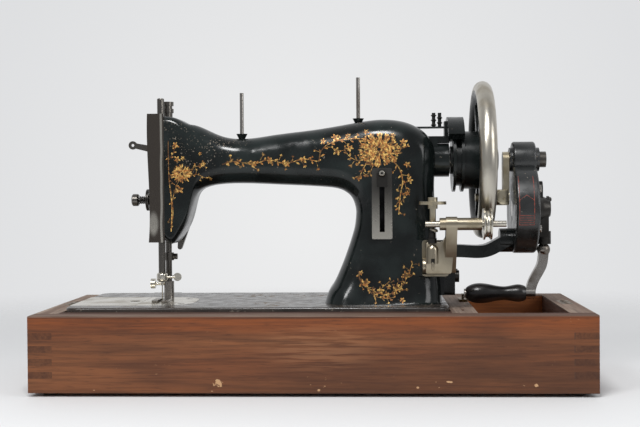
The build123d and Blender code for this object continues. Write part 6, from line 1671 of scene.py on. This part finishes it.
@dataclass
class SmallParts:
    """Fasteners and fittings too small for the castings."""

    paint: Paintbox
    screws: ScrewKit = field(default_factory=ScrewKit)
    axis_y: float = -8.0
    cover_height: float = 172.8
    cover_ring: float = 39.0

    def fasteners(self) -> None:
        """Screw heads of the head, the drive and the base."""
        paint, kit = self.paint, self.screws
        kit.set("plate_screws", "head", paint.steel,
                [((-134.0, y, 79.75), UP, 3.4, 0.5, turn) for y, turn in ((-34.0, 20.0), (18.0, 75.0))])
        kit.set("face_screws", "head", paint.aged,
                [((-166.9, self.axis_y, z), LEFT, 3.2, 1.8, turn)
                 for z, turn in ((252.0, 35.0), (150.0, 80.0))])
        cover = []
        for angle in (-150.0, -90.0, -30.0, 30.0, 150.0):
            y = self.axis_y + self.cover_ring * math.cos(math.radians(angle))
            z = self.cover_height + self.cover_ring * math.sin(math.radians(angle))
            cover.append(((221.4, y, z), RIGHT, 3.6, 2.2, angle * 1.7))
        kit.set("cover_screws", "head", paint.steel, cover)
        kit.set("lock_screws", "base", paint.bronze,
                [((x, 13.0 + dy, 75.9), UP, 2.2, 0.5, turn) for x in (-254.5, 254.5)
                 for dy, turn in ((-14.0, 25.0), (14.0, 60.0))])
        kit.put_away()

    @staticmethod
    def turned(name: str, rings: Sequence[Point], seat: Place, axis: Place,
               sides: int = 24) -> bpy.types.Object:
        """Turn a round piece by extruding a disc from ring to ring.

        Args:
            name: The piece's name.
            rings: Radius and height of each ring, in millimetres.
            seat: Where height 0 is.
            axis: Direction of the height.
            sides: How many sides the rings have.

        Returns:
            The piece, at the origin.
        """
        Bench.clear()
        radius, start = rings[0]
        bpy.ops.mesh.primitive_circle_add(vertices=sides, radius=radius * MM, fill_type="NGON",
                                          location=(0.0, 0.0, start * MM))
        piece = Bench.settle(Bench.made(name))
        bpy.ops.object.mode_set(mode="EDIT")
        bpy.ops.mesh.select_all(action="SELECT")
        for (inner, low), (outer, high) in zip(rings, rings[1:]):
            bpy.ops.mesh.extrude_region_move(TRANSFORM_OT_translate={"value": (0.0, 0.0, (high - low) * MM)})
            bpy.ops.transform.resize(value=(outer / inner, outer / inner, 1.0),
                                     center_override=(0.0, 0.0, high * MM))
        bpy.ops.mesh.select_all(action="SELECT")
        bpy.ops.mesh.normals_make_consistent(inside=False)
        bpy.ops.object.mode_set(mode="OBJECT")
        piece.matrix_world = Bench.stand(seat, axis)
        return Bench.settle(piece)

    @staticmethod
    def plate(name: str, outline: Sequence[Point], back: float, front: float, soft: float) -> bpy.types.Object:
        """Cut a plate that faces the front, with softened edges.

        Args:
            name: The piece's name.
            outline: Its corners in X and Z, anticlockwise, in millimetres.
            back: Y of its back.
            front: Y of its front.
            soft: Width of the softened edges.

        Returns:
            The piece, at the origin.
        """
        Bench.clear()
        bpy.ops.mesh.primitive_circle_add(vertices=len(outline), radius=MM, fill_type="NGON")
        piece = Bench.made(name)
        for vertex, (x, z) in zip(piece.data.vertices, outline):
            vertex.co = (x * MM, back * MM, z * MM)
        bpy.ops.object.mode_set(mode="EDIT")
        bpy.ops.mesh.select_all(action="SELECT")
        bpy.ops.mesh.extrude_region_move(TRANSFORM_OT_translate={"value": (0.0, (front - back) * MM, 0.0)})
        bpy.ops.mesh.select_all(action="SELECT")
        bpy.ops.mesh.normals_make_consistent(inside=False)
        bpy.ops.object.mode_set(mode="OBJECT")
        Bench.apply(piece, "BEVEL", width=soft * MM, segments=2, limit_method="ANGLE",
                    angle_limit=math.radians(40.0))
        return piece

    @staticmethod
    def finish(parts: Sequence[bpy.types.Object], name: str, body: str, finish: Finish, slot: str) -> None:
        """Join parts into one piece, and dress it.

        Args:
            parts: The modelled parts.
            name: The piece's name.
            body: The body it rides on.
            finish: Its material.
            slot: Not used.
        """
        piece = Bench.join(parts, name)
        Bench.done(piece, 32.0)
        finish.dress(piece)
        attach(piece, body)
        LOG.info("%s on %s", name, body)

    def winder(self) -> None:
        """Front plate, latch hood and spring post of the bobbin winder, with a dark block as painted shade in
        the hood's slot.
        """
        outline = [(109.2, 112.2), (110.2, 111.2), (132.4, 111.2), (134.0, 112.6), (135.4, 127.0),
                   (131.0, 149.0), (128.4, 150.0), (127.7, 146.2), (125.6, 143.0), (122.0, 141.7),
                   (110.4, 141.7), (109.2, 140.4)]
        apron = self.plate("apron", outline, -66.6, -71.4, 0.7)
        hood = self.turned("hood", [(5.7, 121.4), (5.7, 134.6), (5.3, 136.9), (4.2, 138.6), (2.4, 139.3),
                                    (0.4, 139.4)], (115.6, -71.2, 0.0), UP, 32)
        slit = self.plate("slit", [(113.9, 120.0), (117.6, 120.0), (117.6, 126.4), (113.9, 126.4)],
                          -73.4, -80.0, 0.1)
        Bench.cut(hood, slit)
        tab = self.plate("tab", [(114.5, 115.0), (117.2, 115.0), (117.4, 122.6), (114.3, 122.6)],
                         -71.0, -75.6, 0.8)
        self.finish([apron, hood, tab], "winder_latch", "winder", self.paint.winder, "nickel")
        post = self.turned("post", [(4.5, 141.0), (4.5, 145.6), (3.4, 146.2), (3.4, 150.8), (2.6, 151.2),
                                    (2.6, 156.8)], (115.4, -70.2, 0.0), UP)
        # Painted shade: a dark block at the back of the hood's slot.
        slot_shade_block = self.plate("slot_shade_block", [(114.0, 121.6), (117.5, 121.6), (117.5, 126.2), (114.0, 126.2)],
                            -72.6, -73.7, 0.1)
        self.finish([post, slot_shade_block], "winder_post_and_slot_shade", "winder", self.paint.dark, "steel")
        cap = self.turned("cap", [(3.0, 0.0), (4.2, 0.7), (4.2, 1.9), (3.2, 2.8), (2.4, 2.9)],
                          (116.6, -70.6, 152.4), (0.34, -0.12, 1.0))
        self.finish([cap], "winder_cap", "winder", self.paint.nickel, "nickel")

    def drive(self) -> None:
        """Eye of the driver, nut of the crank hub and ball of the handle's pin."""
        turns = [math.radians(degrees) for degrees in range(90, 271, 15)]
        outline = [(189.3 + 7.2 * math.cos(a), 184.2 + 7.4 * math.sin(a)) for a in turns]
        lug = self.plate("lug", outline + [(194.6, 176.8), (194.6, 191.6)], -15.4, -18.6, 0.6)
        drill = self.turned("drill", [(1.7, 0.0), (1.7, 8.0)], (189.4, -14.0, 183.6), FRONT, 20)
        Bench.cut(lug, drill)
        self.finish([lug], "driver_eye", "driver", self.paint.cream, "nickel")
        nut = self.turned("nut", [(3.6, 0.0), (3.6, 2.2), (3.2, 2.8), (2.2, 3.0), (2.2, 4.2), (1.5, 4.8)],
                          (233.6, self.axis_y, 181.4), (1.0, 0.0, 0.1), 8)
        self.finish([nut], "hub_nut", "crank", self.paint.dark, "steel")
        ball = self.turned("ball", [(4.6, 0.0), (5.2, 0.8), (5.0, 2.2), (3.9, 3.8), (2.2, 4.8), (0.6, 5.1)],
                           (216.4, self.axis_y, 87.2), RIGHT)
        self.finish([ball], "handle_nut", "folding_arm", self.paint.aged, "steel")

    def threads(self) -> None:
        """Discs of the thread guide's posts, and eye of the stitch lever with a dark disc in its hole as
        painted shade.
        """
        rings = [(1.9, 0.0), (2.8, 0.6), (2.8, 1.3), (1.9, 2.0)]
        places = ((120.5, 256.6), (120.5, 261.4), (120.5, 266.2), (126.5, 258.8), (126.5, 263.8))
        discs = [self.turned("disc", rings, (x, self.axis_y, low), UP) for x, low in places]
        self.finish(discs, "guide_discs", "head", self.paint.dark, "steel")
        eye = self.turned("eye", [(2.7, 0.0), (2.7, 0.9), (2.2, 1.3), (1.3, 1.3), (1.1, 0.4)],
                          (67.7, -53.7, 208.6), FRONT)
        self.finish([eye], "lever_eye", "stitch", self.paint.nickel, "nickel")
        # Painted shade: a dark disc sunk in the eye's hole.
        hole = self.turned("hole", [(1.25, 0.0), (1.25, 1.0), (0.9, 1.25)], (67.7, -53.75, 208.6), FRONT)
        self.finish([hole], "lever_hole_shade", "stitch", self.paint.dark, "steel")

    def fit(self) -> None:
        """Build the small parts."""
        self.fasteners()
        self.winder()
        self.drive()
        self.threads()


def main() -> None:
    """Build the dressed machine in order."""
    logging.basicConfig(level=logging.INFO, format="%(name)s %(message)s")
    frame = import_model()
    Studio().set()
    paint = Paintbox()
    Dressing(frame["nodes"], paint).dress()
    Gilding(frame["nodes"], paint).gild()
    SmallParts(paint).fit()


if __name__ == "__main__":
    main()
